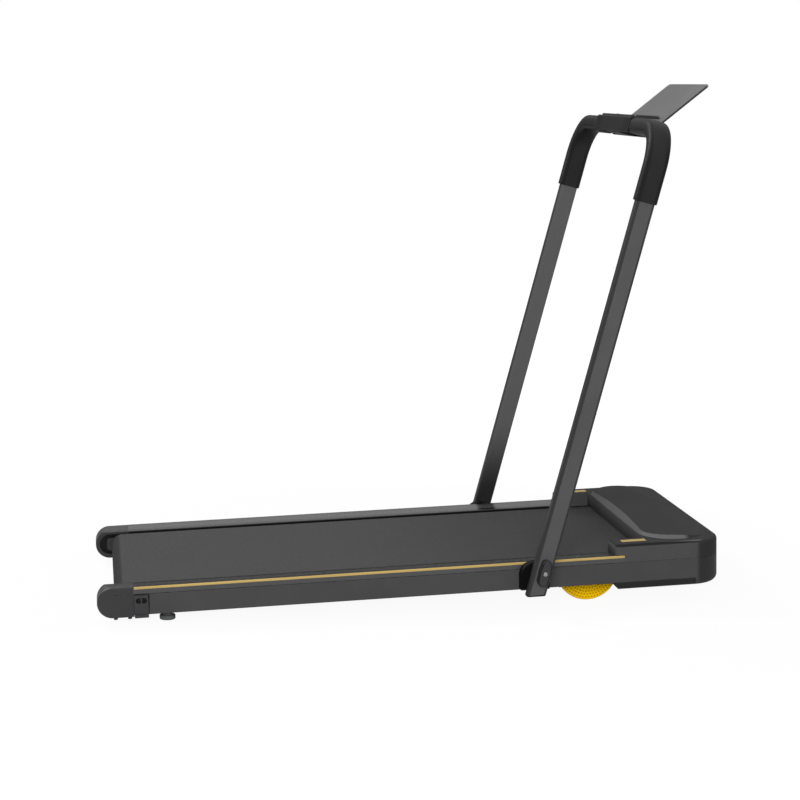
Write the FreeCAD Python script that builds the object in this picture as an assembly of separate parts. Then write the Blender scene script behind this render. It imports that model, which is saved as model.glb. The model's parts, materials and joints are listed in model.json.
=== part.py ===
import FreeCAD, Part
import math
import os

os.makedirs("parts", exist_ok=True)
V = FreeCAD.Vector

# Stance: the deck stands with its front end higher than its rear end.
deck_incline = 1.83
rear_lift = 16.5

# Rails and frame, in the deck's own frame: x forward, y to the left, z away from the floor.
deck_width = 560.0
rail_width = 51.0
frame_width = 28.0
frame_wall = 2.5
flange_thickness = 3.0
seam_height = 42.4
rail_height = 58.4
rail_slope = 4.0
cover_wall = 3.0
edge_radius = 2.0
stripe_low = 53.0
stripe_high = 58.8
stripe_depth = 1.2
stripe_margin = 1.0
cap_length = 73.0
cap_drop = 4.0
cap_edge_radius = 4.0
cap_wall = 4.0
cap_pocket_start = 64.0
cap_groove = 0.8
cap_rim = 9.0
cap_recess = 7.0
carrier_reach = 33.0
carrier_height = 28.0
carrier_corner = 6.0
cap_nub_radius = 4.0
cap_nub_height = 4.5
cap_nub_x = (36.0, 64.0)
bracket_length = 28.0
bracket_thickness = 4.5
bracket_foot = 1.5
bracket_top = 41.0
bracket_bulge = 21.0
bracket_lip = 5.0
bracket_lip_width = 10.0
bracket_window_length = 22.0
bracket_window_height = 11.0
bracket_window_z = 30.0
bracket_bar = 3.0

# Running belt, board and rollers.
board_thickness = 16.0
board_top = 48.0
board_gap = 4.0
belt_thickness = 2.0
belt_side_gap = 7.0
belt_radius = 21.0
roller_gap = 0.3
roller_wall = 3.0
roller_plug = 8.0
roller_overhang = 2.0
rear_axle_x = 58.0
front_axle_setback = 128.5
shaft_radius = 6.0
run_clearance = 0.05
seat_clearance = 0.1
shaft_seat = 10.0
cross_tube_rear = 200.0
cross_tube_middle = 600.0
cross_tube_setback = 18.0
cross_tube_width = 25.0
cross_tube_low = 9.0
cross_tube_wall = 2.0
cushion_radius = 15.0
cushion_height = 5.0
cushion_inset = 58.0

# Feet and floor plate.
plate_thickness = 3.0
plate_reach = 69.5
plate_side_gap = 2.0
plate_lip = 9.0
plate_tongue_gap = 14.0
front_foot_setback = 276.0
front_foot_radius = 66.5
front_foot_inset = 65.0
front_foot_width = 30.0
front_foot_rim = 3.0
foot_flat = 0.3
foot_gap = 1.5
rear_foot_x = 139.5
rear_foot_inset = 37.0
rear_foot_radius = 16.0
rear_foot_neck = 11.0
rear_foot_pad = 9.0
rear_foot_rim = 2.0

# Hood.
hood_front_x = 1293.5
hood_side_length = 212.5
hood_arm_length = 23.0
hood_depth = 161.5
hood_corner = 60.0
hood_shoulder = 81.0
hood_crown = 95.5
hood_wall = 3.0
hood_edge_radius = 9.0
hood_nose_radius = 9.0
hood_arm_corner = 14.0
hood_belt_gap = 2.5
pillow_inset = 12.0
pillow_side = 20.0
pillow_corner = 72.0
pillow_flank = 15.0
pillow_peak = 95.0
pillow_rear_drop = 4.0
pillow_front_drop = 12.0
pillow_roll = 4300.0
lower_edge_radius = 14.0
strip_length = 52.0
strip_inset = 32.0
strip_width = 18.0
strip_depth = 1.0
pan_setback = 239.5
pan_slope = 15.0
pan_drop = 16.0
pan_wall = 3.5
pan_screw_radius = 4.0
pan_screw_height = 2.5
pan_screw_rear = 62.0
pan_screw_front = 166.0
pan_screw_inset = 30.0
vent_length = 40.0
vent_width = 4.0
vent_pitch = 12.0
vent_count = 9

# Drive.
motor_setback = 62.5
motor_z = 40.0
motor_radius = 36.0
motor_start = -60.0
motor_end = 80.0
motor_wall = 3.0
motor_bell = 10.0
rotor_shaft_radius = 4.0
flywheel_radius = 33.0
flywheel_gap = 20.0
flywheel_width = 12.0
pulley_gap = 5.0
pulley_width = 16.0
pulley_flange = 2.0
pulley_flange_height = 1.2
roller_pulley_radius = 19.0
motor_pulley_radius = 9.5
drive_belt_thickness = 2.5
drive_belt_margin = 3.0
motor_bracket_height = 22.0
motor_bracket_reach = 33.0

# Controller and power inlet.
board_pcb = 1.6
pcb_standoff = 6.0
pcb_front_setback = 31.5
pcb_length = 62.0
pcb_motor_gap = 10.0
pcb_width = 130.0
sink_height = 24.0
fin_pitch = 8.0
fin_width = 3.0
fin_count = 7
capacitor_radius = 10.0
capacitor_height = 28.0
inlet_inset = 130.0
inlet_z = 23.0
inlet_width = 66.0
inlet_height = 26.0
inlet_flange = 4.0
inlet_flange_thickness = 1.5
inlet_depth = 19.0
socket_y = -12.0
socket_width = 27.0
socket_height = 19.0
socket_depth = 14.0
socket_pin = 2.0
socket_pin_spread = 7.0
socket_pin_drop = 2.0
socket_pin_rise = 3.0
pin_recess = 6.0
rocker_y = 20.0
rocker_width = 14.4
rocker_slot_width = 15.0
rocker_height = 14.4
rocker_slot_height = 17.0
rocker_depth = 11.0
rocker_pivot_depth = 5.0
rocker_tilt = 8.0

# Transport wheels under the hood.
wheel_setback = 78.5
wheel_rise = 3.0
wheel_inset = 65.0
wheel_radius = 9.5
wheel_width = 14.0
wheel_axle_radius = 2.5
wheel_gap = 1.5
wheel_lug = 3.5
wheel_lug_half = 6.0

# Handrail, in its own frame: pivot at the origin, z up along the post.
pivot_setback = 396.5
pivot_z = 46.5
lean = 16.5
post_width = 39.0
post_depth = 25.0
post_corner = 7.0
tube_wall = 2.0
post_tail = 80.0
post_low = -4.5
handle_reach = 920.0
bend_radius = 78.0
plug_cap = 3.0
plug_insert = 15.0
grip_thickness = 4.0
grip_drop = 149.0
grip_edge_gap = 0.5
side_gap = 0.3

# Hinge blocks, bolts and clamp knobs.
block_width = 21.7
block_z = 31.0
block_radius = 30.0
block_setback = 11.0
block_low = 4.0
block_edge_radius = 3.0
bolt_radius = 4.5
bolt_seat = 4.0
knob_hub_radius = 11.0
knob_end_radius = 9.5
knob_end_offset = 17.5
knob_height = 18.0
knob_edge_radius = 2.5
bolt_show = 1.5

# Console and tablet plate.
console_half = 135.0
console_wall = 5.0
console_cover = 5.0
console_skirt = 16.0
console_edge_radius = 4.0
lid_inset = 25.0
lid_margin = 3.0
lid_height = 4.0
lid_edge_radius = 1.5
clamp_half = 55.0
clamp_height = 5.0
window_half = 45.0
window_depth = 20.0
window_shift = 4.0
window_thickness = 1.0
button_radius = 5.0
button_gap = 0.3
button_height = 5.0
button_travel = 1.2
button_inset = 35.0
start_button_row = -14.0
hinge_gap = 1.0
hinge_up = 4.6
hinge_radius = 4.5
pin_radius = 2.0
pin_margin = 20.0
lug_near = 60.0
lug_width = 10.0
lug_gap = 0.5
tablet_angle = 53.0
tablet_length = 146.0
tablet_half = 140.0
tablet_thickness = 4.0
tablet_corner = 10.0
ledge_at = 28.0
ledge_thickness = 3.0
ledge_height = 8.0
ledge_half = 100.0

half = deck_width / 2
rail_inner = half - rail_width
frame_inner = half - frame_width
board_bottom = board_top - board_thickness
axle_z = board_top - belt_radius
cross_tube_high = board_bottom - cushion_height
board_half = frame_inner - board_gap
belt_width = 2 * (rail_inner - belt_side_gap)
roller_half = belt_width / 2 + roller_overhang
front_axle_x = hood_front_x - front_axle_setback
shaft_reach = frame_inner + shaft_seat
corner_x = hood_front_x - hood_corner
hood_side_x = hood_front_x - hood_side_length
hood_arm_x = hood_side_x - hood_arm_length
hood_foot_x = hood_front_x - hood_depth
front_foot_x = hood_front_x - front_foot_setback
front_foot_outer = half - front_foot_inset
front_foot_inner = front_foot_outer - front_foot_width
tilt = math.radians(deck_incline)
front_foot_rise = rear_lift + front_foot_x * math.sin(tilt)
front_foot_z = (front_foot_radius - foot_flat - front_foot_rise) / math.cos(tilt)
plate_rear_x = front_foot_x - plate_reach
plate_half = frame_inner - plate_side_gap
plate_front_x = hood_front_x - plate_tongue_gap
cross_tube_positions = (cross_tube_rear, cross_tube_middle, plate_rear_x - cross_tube_setback)
cushion_y = board_half - cushion_inset
rear_foot_y = half - rear_foot_inset
strip_y = half - strip_inset
pan_rear_x = hood_front_x - pan_setback
pan_low = -pan_drop
pan_screw_y = half - pan_screw_inset
wheel_x = hood_front_x - wheel_setback
wheel_y = half - wheel_inset
wheel_z = pan_low + wheel_rise
motor_x = hood_front_x - motor_setback
flywheel_start = motor_end + flywheel_gap
pulley_start = roller_half + pulley_gap
pcb_end_x = hood_front_x - pcb_front_setback
pcb_start_x = pcb_end_x - pcb_length
pcb_end_y = motor_start - pcb_motor_gap
pcb_start_y = pcb_end_y - pcb_width
inlet_y = half - inlet_inset
pivot_x = hood_front_x - pivot_setback
post_inner = half + block_width + side_gap
post_y = post_inner + post_depth / 2
post_outer = post_inner + post_depth
grip_start = handle_reach - grip_drop
knob_start = post_outer + side_gap
knob_face = knob_start + knob_height
console_depth = post_width + 2 * console_wall
console_top = post_depth / 2 + console_cover
lid_half = console_half - lid_inset
lid_depth = console_depth - 2 * lid_margin
button_y = lid_half - button_inset
lid_top = console_top + lid_height
hinge_forward = console_depth / 2 + hinge_radius + hinge_gap
lug_far = lug_near + lug_width
pin_half = lug_far + pin_margin
overlap = 1.0
parts = {}


def box(x0, x1, y0, y1, z0, z1):
    """Box between two limits on each axis."""
    return Part.makeBox(x1 - x0, y1 - y0, z1 - z0, V(x0, y0, z0))


def rod(x, z, radius, y0, y1):
    """Cylinder along y."""
    return Part.makeCylinder(radius, y1 - y0, V(x, y0, z), V(0, 1, 0))


def stud(x, y, radius, z0, z1):
    """Cylinder along z."""
    return Part.makeCylinder(radius, z1 - z0, V(x, y, z0), V(0, 0, 1))


def prism(points, y0, y1):
    """Polygon in the x-z plane, extruded along y."""
    corners = [V(x, y0, z) for x, z in points]
    face = Part.Face(Part.makePolygon(corners + corners[:1]))
    return face.extrude(V(0, y1 - y0, 0))


def mirror(shape):
    """The same shape on the other side of the part."""
    return shape.mirror(V(0, 0, 0), V(0, 1, 0))


def pair(name, shape):
    """Keeps a left piece and its right twin."""
    parts[name + "_L"] = shape
    parts[name + "_R"] = mirror(shape)


def both(shape):
    """A shape and its mirror image as separate solids."""
    return Part.makeCompound(shape.Solids + mirror(shape).Solids)


def soften(shape, radius, pick):
    """Fillets the edges that pick accepts."""
    edges = [edge for edge in shape.Edges if pick(edge)]
    return shape.makeFillet(radius, edges)


def near(a, b):
    return abs(a - b) < 0.01


def lies(edge, axis, value):
    """True if the whole edge lies at one value of an axis."""
    limits = edge.BoundBox
    low = getattr(limits, axis.upper() + "Min")
    high = getattr(limits, axis.upper() + "Max")
    return near(low, value) and near(high, value)


def hull_face(c1, r1, c2, r2, y):
    """Face that two circles in the x-z plane and their outer tangents bound."""
    dx = c2[0] - c1[0]
    dz = c2[1] - c1[1]
    along = math.atan2(dz, dx)
    open_angle = math.acos((r1 - r2) / math.hypot(dx, dz))

    def at(centre, radius, angle):
        return V(centre[0] + radius * math.cos(angle), y, centre[1] + radius * math.sin(angle))

    a1 = at(c1, r1, along + open_angle)
    b1 = at(c1, r1, along - open_angle)
    a2 = at(c2, r2, along + open_angle)
    b2 = at(c2, r2, along - open_angle)
    rear = Part.Arc(a1, at(c1, r1, along + math.pi), b1).toShape()
    front = Part.Arc(b2, at(c2, r2, along), a2).toShape()
    wire = Part.Wire([rear, Part.makeLine(b1, b2), front, Part.makeLine(a2, a1)])
    return Part.Face(wire)


def loop(c1, r1, c2, r2, thickness, y0, y1):
    """Flat belt around two pulleys."""
    outer = hull_face(c1, r1 + thickness, c2, r2 + thickness, y0)
    inner = hull_face(c1, r1, c2, r2, y0)
    return outer.cut(inner).extrude(V(0, y1 - y0, 0))


def round_rect(width, depth, corner, length):
    """Bar along z with a rounded rectangular section, centred on the axis."""
    bar = box(-width / 2, width / 2, -depth / 2, depth / 2, 0, length)
    return soften(bar, corner, lambda e: near(e.BoundBox.ZLength, length))


def to_deck(shape):
    """Takes a shape from the floor's frame into the deck's frame."""
    shape = shape.copy()
    shape.translate(V(0, 0, -rear_lift))
    shape.rotate(V(0, 0, 0), V(0, 1, 0), deck_incline)
    return shape


def to_floor(shape):
    """Takes a shape from the deck's frame into the floor's frame."""
    shape = shape.copy()
    shape.rotate(V(0, 0, 0), V(0, 1, 0), -deck_incline)
    shape.translate(V(0, 0, rear_lift))
    return shape


def from_handle(shape):
    """Takes a shape from the handrail's frame into the deck's frame."""
    shape = shape.copy()
    shape.rotate(V(0, 0, 0), V(0, 1, 0), lean)
    shape.translate(V(pivot_x, 0, pivot_z))
    return shape


def rail_top(y):
    """Height of the rail's top, which falls towards the belt."""
    return rail_height - rail_slope * (half - y) / rail_width


def under_top(x0, x1, y0, y1, z0, drop):
    """Block from a height up to the rail's top, less a wall."""
    low = rail_top(y0) - drop
    high = rail_top(y1) - drop
    points = [V(x0, y0, z0), V(x0, y1, z0), V(x0, y1, high), V(x0, y0, low), V(x0, y0, z0)]
    return Part.Face(Part.makePolygon(points)).extrude(V(x1 - x0, 0, 0))


def build_rails():
    frame = box(cap_length, corner_x, frame_inner, half, 0, seam_height)
    frame = soften(frame, edge_radius, lambda e: lies(e, "y", half) and lies(e, "z", 0))
    hollow = box(cap_length - overlap, corner_x + overlap, frame_inner + frame_wall, half - frame_wall,
                 frame_wall, seam_height - frame_wall)
    flange = box(cap_length, corner_x, rail_inner, frame_inner, 0, flange_thickness)
    bore_end = shaft_reach + seat_clearance
    bore = rod(front_axle_x, axle_z, shaft_radius + seat_clearance, frame_inner - overlap, bore_end)
    pair("side_frame", frame.cut(hollow).fuse(flange).removeSplitter().cut(bore))

    cover = under_top(cap_length, hood_side_x, rail_inner, half, seam_height, 0)
    cover = soften(cover, edge_radius,
                   lambda e: e.BoundBox.ZMin > seam_height + overlap and e.BoundBox.XLength > cap_length)
    room = under_top(cap_length - overlap, hood_side_x + overlap, rail_inner + cover_wall, half - cover_wall,
                     seam_height - overlap, cover_wall)
    relief = box(cap_length - overlap, hood_side_x + overlap, rail_inner - overlap, rail_inner + cover_wall,
                 seam_height - overlap, board_top)
    rib = under_top(cap_length, hood_side_x, frame_inner, frame_inner + frame_wall, seam_height, cover_wall)
    seam = box(cap_length - overlap, hood_side_x + overlap, half - cap_groove, half + overlap,
               seam_height - overlap, seam_height + cap_groove)
    stripe = box(cap_length + stripe_margin, hood_side_x - stripe_margin, half - stripe_depth, half,
                 stripe_low, stripe_high - edge_radius / 2)
    stripe = stripe.common(cover)
    pair("rail_cover", cover.cut(room).cut(relief).fuse(rib).removeSplitter().cut(stripe).cut(seam))
    pair("rail_stripe", stripe)


def build_caps():
    radius = (rail_height + cap_drop) / 2
    centre_z = rail_height - radius
    top = V(radius, rail_inner, rail_height)
    low = V(radius, rail_inner, -cap_drop)
    front_top = V(cap_length, rail_inner, rail_height)
    front_low = V(cap_length, rail_inner, -cap_drop)
    arc = Part.Arc(top, V(0, rail_inner, centre_z), low).toShape()
    wire = Part.Wire([arc, Part.makeLine(low, front_low), Part.makeLine(front_low, front_top),
                      Part.makeLine(front_top, top)])
    cap = Part.Face(wire).extrude(V(0, rail_width, 0))
    cap = soften(cap, cap_edge_radius,
                 lambda e: lies(e, "y", half) and e.BoundBox.XMin < cap_length - overlap)
    crest = half - 2 * cap_edge_radius
    fall = rail_slope / (crest - rail_inner)
    brink = rail_inner - overlap
    corners = [V(0, crest, rail_height), V(0, brink, rail_height - fall * (crest - brink)),
               V(0, brink, rail_height + cap_drop), V(0, crest, rail_height + cap_drop)]
    slope = Part.Face(Part.makePolygon(corners + corners[:1])).extrude(V(cap_length + overlap, 0, 0))
    cap = cap.cut(slope)
    pocket = box(cap_pocket_start, cap_length + overlap, rail_inner + cap_wall, half - cap_wall, 0,
                 rail_top(rail_inner) - cap_wall)
    bore_end = shaft_reach + seat_clearance
    bore = rod(rear_axle_x, axle_z, shaft_radius + seat_clearance, rail_inner - overlap, bore_end)
    groove = box(radius, cap_length + overlap, half - cap_groove, half + overlap, seam_height,
                 seam_height + cap_groove)
    bend = radius - cap_rim
    recess = hull_face((radius, centre_z), bend, (cap_length + radius, centre_z), bend, rail_inner - overlap)
    recess = recess.extrude(V(0, cap_recess + overlap, 0))
    carrier = box(rear_axle_x - carrier_reach, cap_length, rail_inner, rail_inner + cap_recess + overlap,
                  axle_z - carrier_height / 2, axle_z + carrier_height / 2)
    carrier = soften(carrier, carrier_corner, lambda e: lies(e, "x", rear_axle_x - carrier_reach)
                     and e.BoundBox.YLength > cap_recess)
    cap = cap.cut(pocket).cut(recess).fuse(carrier).cut(bore).cut(groove)
    nub_y = half - cap_edge_radius - 1.5 * cap_nub_radius
    for x in cap_nub_x:
        cap = cap.fuse(stud(x, nub_y, cap_nub_radius, -cap_drop - cap_nub_height, -cap_drop))
    pair("end_cap", cap.removeSplitter())

    x0 = cap_length + stripe_margin / 2
    outer = half + bracket_thickness
    foot = half + bracket_foot
    inner = half - bracket_lip_width
    lean_mid = V(x0, outer - (outer - foot) / 4, bracket_bulge / 2)
    corners = [V(x0, foot, 0), V(x0, outer, 0), V(x0, outer, -bracket_lip), V(x0, inner, -bracket_lip),
               V(x0, inner, 0), V(x0, half, 0), V(x0, half, bracket_top), V(x0, outer, bracket_top),
               V(x0, outer, bracket_bulge)]
    outline = [Part.makeLine(a, b) for a, b in zip(corners, corners[1:])]
    outline.append(Part.Arc(corners[-1], lean_mid, corners[0]).toShape())
    clip = Part.Face(Part.Wire(outline)).extrude(V(bracket_length, 0, 0))
    clip = soften(clip, edge_radius / 2, lambda e: lies(e, "y", outer) and lies(e, "z", bracket_top))
    middle = x0 + bracket_length / 2
    end = bracket_window_height / 2
    reach = bracket_window_length / 2 - end
    window = hull_face((middle - reach, bracket_window_z), end, (middle + reach, bracket_window_z), end,
                       half).extrude(V(0, deck_width, 0))
    bar = box(middle - bracket_bar / 2, middle + bracket_bar / 2, half, half + bracket_bar,
              bracket_window_z - end - overlap, bracket_window_z + end + overlap)
    pair("adjuster_bracket", clip.cut(window).fuse(bar).removeSplitter())


def build_running_gear():
    rear = (rear_axle_x, axle_z)
    front = (front_axle_x, axle_z)
    parts["running_belt"] = loop(rear, belt_radius, front, belt_radius, belt_thickness,
                                 -belt_width / 2, belt_width / 2)
    parts["deck_board"] = box(rear_axle_x + belt_radius + board_gap,
                              front_axle_x - belt_radius - 2 * board_gap, -board_half, board_half,
                              board_bottom, board_top)
    tubes = []
    cushions = []
    for x in cross_tube_positions:
        x0 = x - cross_tube_width / 2
        x1 = x + cross_tube_width / 2
        tube = box(x0, x1, -frame_inner, frame_inner, cross_tube_low, cross_tube_high)
        inside = box(x0 + cross_tube_wall, x1 - cross_tube_wall, -half, half,
                     cross_tube_low + cross_tube_wall, cross_tube_high - cross_tube_wall)
        tubes.append(tube.cut(inside))
        for y in (-cushion_y, cushion_y):
            cushions.append(stud(x, y, cushion_radius, cross_tube_high, board_bottom))
    parts["cross_tubes"] = Part.makeCompound(tubes)
    parts["cushions"] = Part.makeCompound(cushions)

    radius = belt_radius - roller_gap
    for name, x in (("rear", rear_axle_x), ("front", front_axle_x)):
        tube = rod(x, axle_z, radius, -roller_half, roller_half)
        inside = rod(x, axle_z, radius - roller_wall, -roller_half + roller_plug, roller_half - roller_plug)
        bore = rod(x, axle_z, shaft_radius + run_clearance, -half, half)
        parts[name + "_roller"] = tube.cut(inside).cut(bore)
        parts[name + "_shaft"] = rod(x, axle_z, shaft_radius, -shaft_reach, shaft_reach)


def build_feet():
    plate = box(plate_rear_x, corner_x, -plate_half, plate_half, -plate_thickness, 0)
    lip = box(plate_rear_x, plate_rear_x + plate_thickness, -plate_half, plate_half, -plate_lip, 0)
    tongue = box(corner_x - overlap, plate_front_x, -rail_inner, rail_inner, -plate_thickness, 0)
    parts["chassis_plate"] = plate.fuse(lip).fuse(tongue).removeSplitter()

    reach = 4 * front_foot_radius
    disc = rod(front_foot_x, front_foot_z, front_foot_radius, front_foot_inner, front_foot_outer)
    disc = soften(disc, front_foot_rim, lambda e: e.BoundBox.YLength < front_foot_rim)
    above = box(front_foot_x - reach, front_foot_x + reach, -half, half, -plate_thickness, reach)
    floor = to_deck(box(0, hood_front_x, -half, half, -reach, 0))
    pair("front_foot", disc.cut(above).cut(floor))

    pad = stud(rear_foot_x, rear_foot_y, rear_foot_radius, 0, rear_foot_pad)
    pad = soften(pad, rear_foot_rim, lambda e: e.BoundBox.ZLength < rear_foot_rim)
    neck = stud(rear_foot_x, rear_foot_y, rear_foot_neck, rear_foot_pad - overlap, 3 * rear_lift)
    deck = box(0, hood_front_x, 0, half, 0, reach)
    pair("rear_foot", to_deck(pad.fuse(neck).removeSplitter()).cut(deck))


def hood_plan(x0, inset, z0, z1):
    """Block with the hood's rounded front corners in plan."""
    x1 = hood_front_x - inset
    y1 = half - inset
    block = box(x0 - half, x1, -y1, y1, z0, z1)
    block = soften(block, hood_corner - inset,
                   lambda e: near(e.BoundBox.ZLength, z1 - z0) and lies(e, "x", x1))
    return block.cut(box(x0 - deck_width, x0, -deck_width, deck_width, z0 - overlap, z1 + overlap))


def round_plan(x0, x1, y, corner, z):
    """Outline of a rectangle with rounded corners, at a height."""
    slab = box(x0, x1, -y, y, z, z + overlap)
    slab = soften(slab, corner, lambda e: near(e.BoundBox.ZLength, overlap))
    return [face for face in slab.Faces if near(face.BoundBox.ZMax, z)][0].OuterWire


def hood_pillow(inset):
    """Raised middle of the hood: sloped flanks all round under a top that is crowned both ways."""
    low = hood_shoulder - inset
    top = hood_crown - inset
    foot = hood_foot_x + inset
    front = hood_front_x - pillow_inset - inset
    side = half - pillow_side - inset
    corner = pillow_corner - inset
    base = round_plan(foot, front, side, corner, low)
    brim = round_plan(foot + pillow_flank, front - pillow_flank, side - pillow_flank, corner - pillow_flank,
                      top + overlap)
    flanks = Part.makeLoft([base, brim], True, True)
    rear_top = V(foot, 0, top - pillow_rear_drop)
    front_top = V(front, 0, top - pillow_front_drop)
    rear_low = V(foot, 0, low - overlap)
    front_low = V(front, 0, low - overlap)
    edges = [
        Part.makeLine(rear_low, rear_top),
        Part.Arc(rear_top, V(front - pillow_peak, 0, top), front_top).toShape(),
        Part.makeLine(front_top, front_low),
        Part.makeLine(front_low, rear_low),
    ]
    profile = Part.Face(Part.Wire(edges))
    axis = V(0, 0, -pillow_roll)
    spread = math.degrees(half / pillow_roll)
    profile.rotate(axis, V(1, 0, 0), -spread)
    crown = profile.revolve(axis, V(1, 0, 0), 2 * spread)
    return flanks.common(crown)


def hood_notch(wall):
    """Room between the arms, over the belt, grown by a wall."""
    foot = hood_foot_x + wall
    inner = rail_inner + wall
    return box(hood_arm_x - half, foot, -inner, inner, 0, hood_crown + half)


def build_hood():
    top = hood_plan(hood_side_x, 0, seam_height, hood_shoulder)
    top = soften(top, hood_edge_radius,
                 lambda e: lies(e, "z", hood_shoulder) and e.BoundBox.XMax > hood_side_x + overlap)
    arm = box(hood_arm_x, hood_foot_x + overlap, rail_inner, half, rail_top(rail_inner), hood_shoulder)
    arm = soften(arm, hood_arm_corner, lambda e: lies(e, "x", hood_arm_x) and lies(e, "y", half))
    arm = soften(arm, hood_nose_radius,
                 lambda e: lies(e, "z", hood_shoulder) and e.BoundBox.XMin < hood_foot_x
                 and (e.BoundBox.YMax > half - overlap or e.BoundBox.XMax < hood_foot_x))
    arm = arm.cut(under_top(hood_arm_x - overlap, hood_side_x, rail_inner - overlap, half + overlap, 0, 0))
    shell = top.fuse(arm).fuse(mirror(arm)).cut(hood_notch(0)).fuse(hood_pillow(0)).removeSplitter()
    inside = hood_plan(hood_side_x - overlap, hood_wall, seam_height - overlap, hood_shoulder - hood_wall)
    inside = inside.cut(hood_notch(hood_wall)).fuse(hood_pillow(hood_wall))
    arm_room = box(hood_arm_x + hood_arm_corner, hood_foot_x + 2 * hood_wall, rail_inner + hood_wall,
                   half - hood_wall, seam_height - overlap, hood_shoulder - hood_nose_radius)
    open_low = box(hood_foot_x - overlap, hood_foot_x + half, -rail_inner, rail_inner, seam_height - overlap,
                   board_top + belt_thickness + hood_belt_gap)
    arm_low = box(hood_side_x - overlap, front_axle_x - belt_radius, rail_inner - overlap,
                  rail_inner + hood_wall, seam_height - overlap, board_top + belt_thickness)
    shell = shell.cut(inside).cut(open_low.common(hood_plan(hood_side_x, hood_wall, 0, hood_shoulder)))
    rear_wall = box(hood_side_x - overlap, hood_side_x + hood_wall, rail_inner - overlap, half + overlap,
                    seam_height - overlap, rail_height)
    rear_wall = rear_wall.cut(box(0, hood_front_x, half - hood_wall, half, 0, rail_height))
    for piece in (arm_room, arm_low, rear_wall):
        shell = shell.cut(piece).cut(mirror(piece))
    strip = box(hood_side_x, hood_side_x + strip_length, strip_y - strip_width / 2,
                strip_y + strip_width / 2, hood_shoulder - strip_depth, hood_shoulder)
    seam_top = seam_height + cap_groove
    seam = hood_plan(hood_side_x, 0, seam_height - overlap, seam_top)
    seam = seam.cut(hood_plan(hood_side_x - overlap, cap_groove, 0, hood_shoulder))
    parts["hood_top"] = shell.cut(strip).cut(mirror(strip)).cut(seam)
    pair("hood_strip", strip)

    lower = hood_plan(corner_x, 0, pan_low, seam_height)
    lower = soften(lower, lower_edge_radius,
                   lambda e: lies(e, "z", pan_low) and e.BoundBox.XMax > corner_x + overlap)
    floor = pan_low + hood_wall
    room = hood_plan(corner_x - overlap, hood_wall, floor, seam_height + overlap)
    room = soften(room, lower_edge_radius - hood_wall,
                  lambda e: lies(e, "z", floor) and e.BoundBox.XMax > corner_x + overlap)
    cut_out = box(hood_front_x - 2 * hood_wall, hood_front_x + overlap, inlet_y - inlet_width / 2,
                  inlet_y + inlet_width / 2, inlet_z - inlet_height / 2, inlet_z + inlet_height / 2)
    parts["hood_lower"] = lower.cut(room).cut(cut_out)


def build_pan():
    low = pan_low
    floor = low + pan_wall
    outline = [(pan_rear_x, 0), (pan_rear_x + pan_slope, low), (corner_x, low), (corner_x, 0)]
    tray = prism(outline, -half, half)
    tray = soften(tray, lower_edge_radius, lambda e: lies(e, "z", low) and near(abs(e.BoundBox.YMin), half)
                  and e.BoundBox.YLength < overlap)
    rear = pan_rear_x + 1.4 * pan_wall
    side = half - pan_wall
    inner = [(rear, overlap), (rear, 0), (rear + pan_slope * floor / low, floor), (corner_x + overlap, floor),
             (corner_x + overlap, overlap)]
    room = prism(inner, -side, side)
    room = soften(room, lower_edge_radius - pan_wall, lambda e: lies(e, "z", floor)
                  and near(abs(e.BoundBox.YMin), side) and e.BoundBox.YLength < overlap)
    tray = tray.cut(room)
    tray = tray.cut(box(pan_rear_x - overlap, corner_x + overlap, -plate_half, plate_half, -plate_thickness,
                        overlap))
    arch = rod(front_foot_x, front_foot_z, front_foot_radius + foot_gap, front_foot_inner - foot_gap,
               front_foot_outer + foot_gap)
    tray = tray.cut(arch).cut(mirror(arch))
    vent_x = (pan_rear_x + corner_x) / 2 - vent_length / 2
    for index in range(vent_count):
        y = vent_pitch * (index - (vent_count - 1) / 2)
        tray = tray.cut(box(vent_x, vent_x + vent_length, y - vent_width / 2, y + vent_width / 2,
                            low - overlap, low + 2 * pan_wall))
    lug_start = wheel_width / 2 + wheel_gap
    slot = box(wheel_x - wheel_radius - wheel_gap, wheel_x + wheel_radius + wheel_gap, wheel_y - lug_start,
               wheel_y + lug_start, low - overlap, low + 2 * pan_wall)
    tray = tray.cut(slot).cut(mirror(slot))
    for side in (-lug_start - wheel_lug, lug_start):
        lug = box(wheel_x - wheel_lug_half, wheel_x + wheel_lug_half, wheel_y + side,
                  wheel_y + side + wheel_lug, low + edge_radius / 2, wheel_z + wheel_lug_half)
        tray = tray.fuse(lug).fuse(mirror(lug))
    reach = lug_start + wheel_lug
    bore = rod(wheel_x, wheel_z, wheel_axle_radius + run_clearance, wheel_y - reach, wheel_y + reach)
    parts["belly_pan"] = tray.removeSplitter().cut(bore).cut(mirror(bore))
    wheel = rod(wheel_x, wheel_z, wheel_radius, wheel_y - wheel_width / 2, wheel_y + wheel_width / 2)
    wheel = soften(wheel, edge_radius, lambda e: e.BoundBox.YLength < overlap)
    pair("transport_wheel", wheel.cut(rod(wheel_x, wheel_z, wheel_axle_radius + run_clearance, 0, half)))
    parts["wheel_axles"] = both(rod(wheel_x, wheel_z, wheel_axle_radius, wheel_y - reach, wheel_y + reach))
    screws = []
    for x in (pan_screw_rear, pan_screw_front):
        screw = stud(pan_rear_x + x, pan_screw_y, pan_screw_radius, low - pan_screw_height, low)
        screws.extend(both(screw).Solids)
    parts["pan_screws"] = Part.makeCompound(screws)


def grooved_pulley(x, z, radius):
    """Flat pulley with a flange at each side."""
    end = pulley_start + pulley_width
    wheel = rod(x, z, radius, pulley_start, end)
    for y in (pulley_start, end - pulley_flange):
        wheel = wheel.fuse(rod(x, z, radius + pulley_flange_height, y, y + pulley_flange))
    return wheel.removeSplitter()


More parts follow.
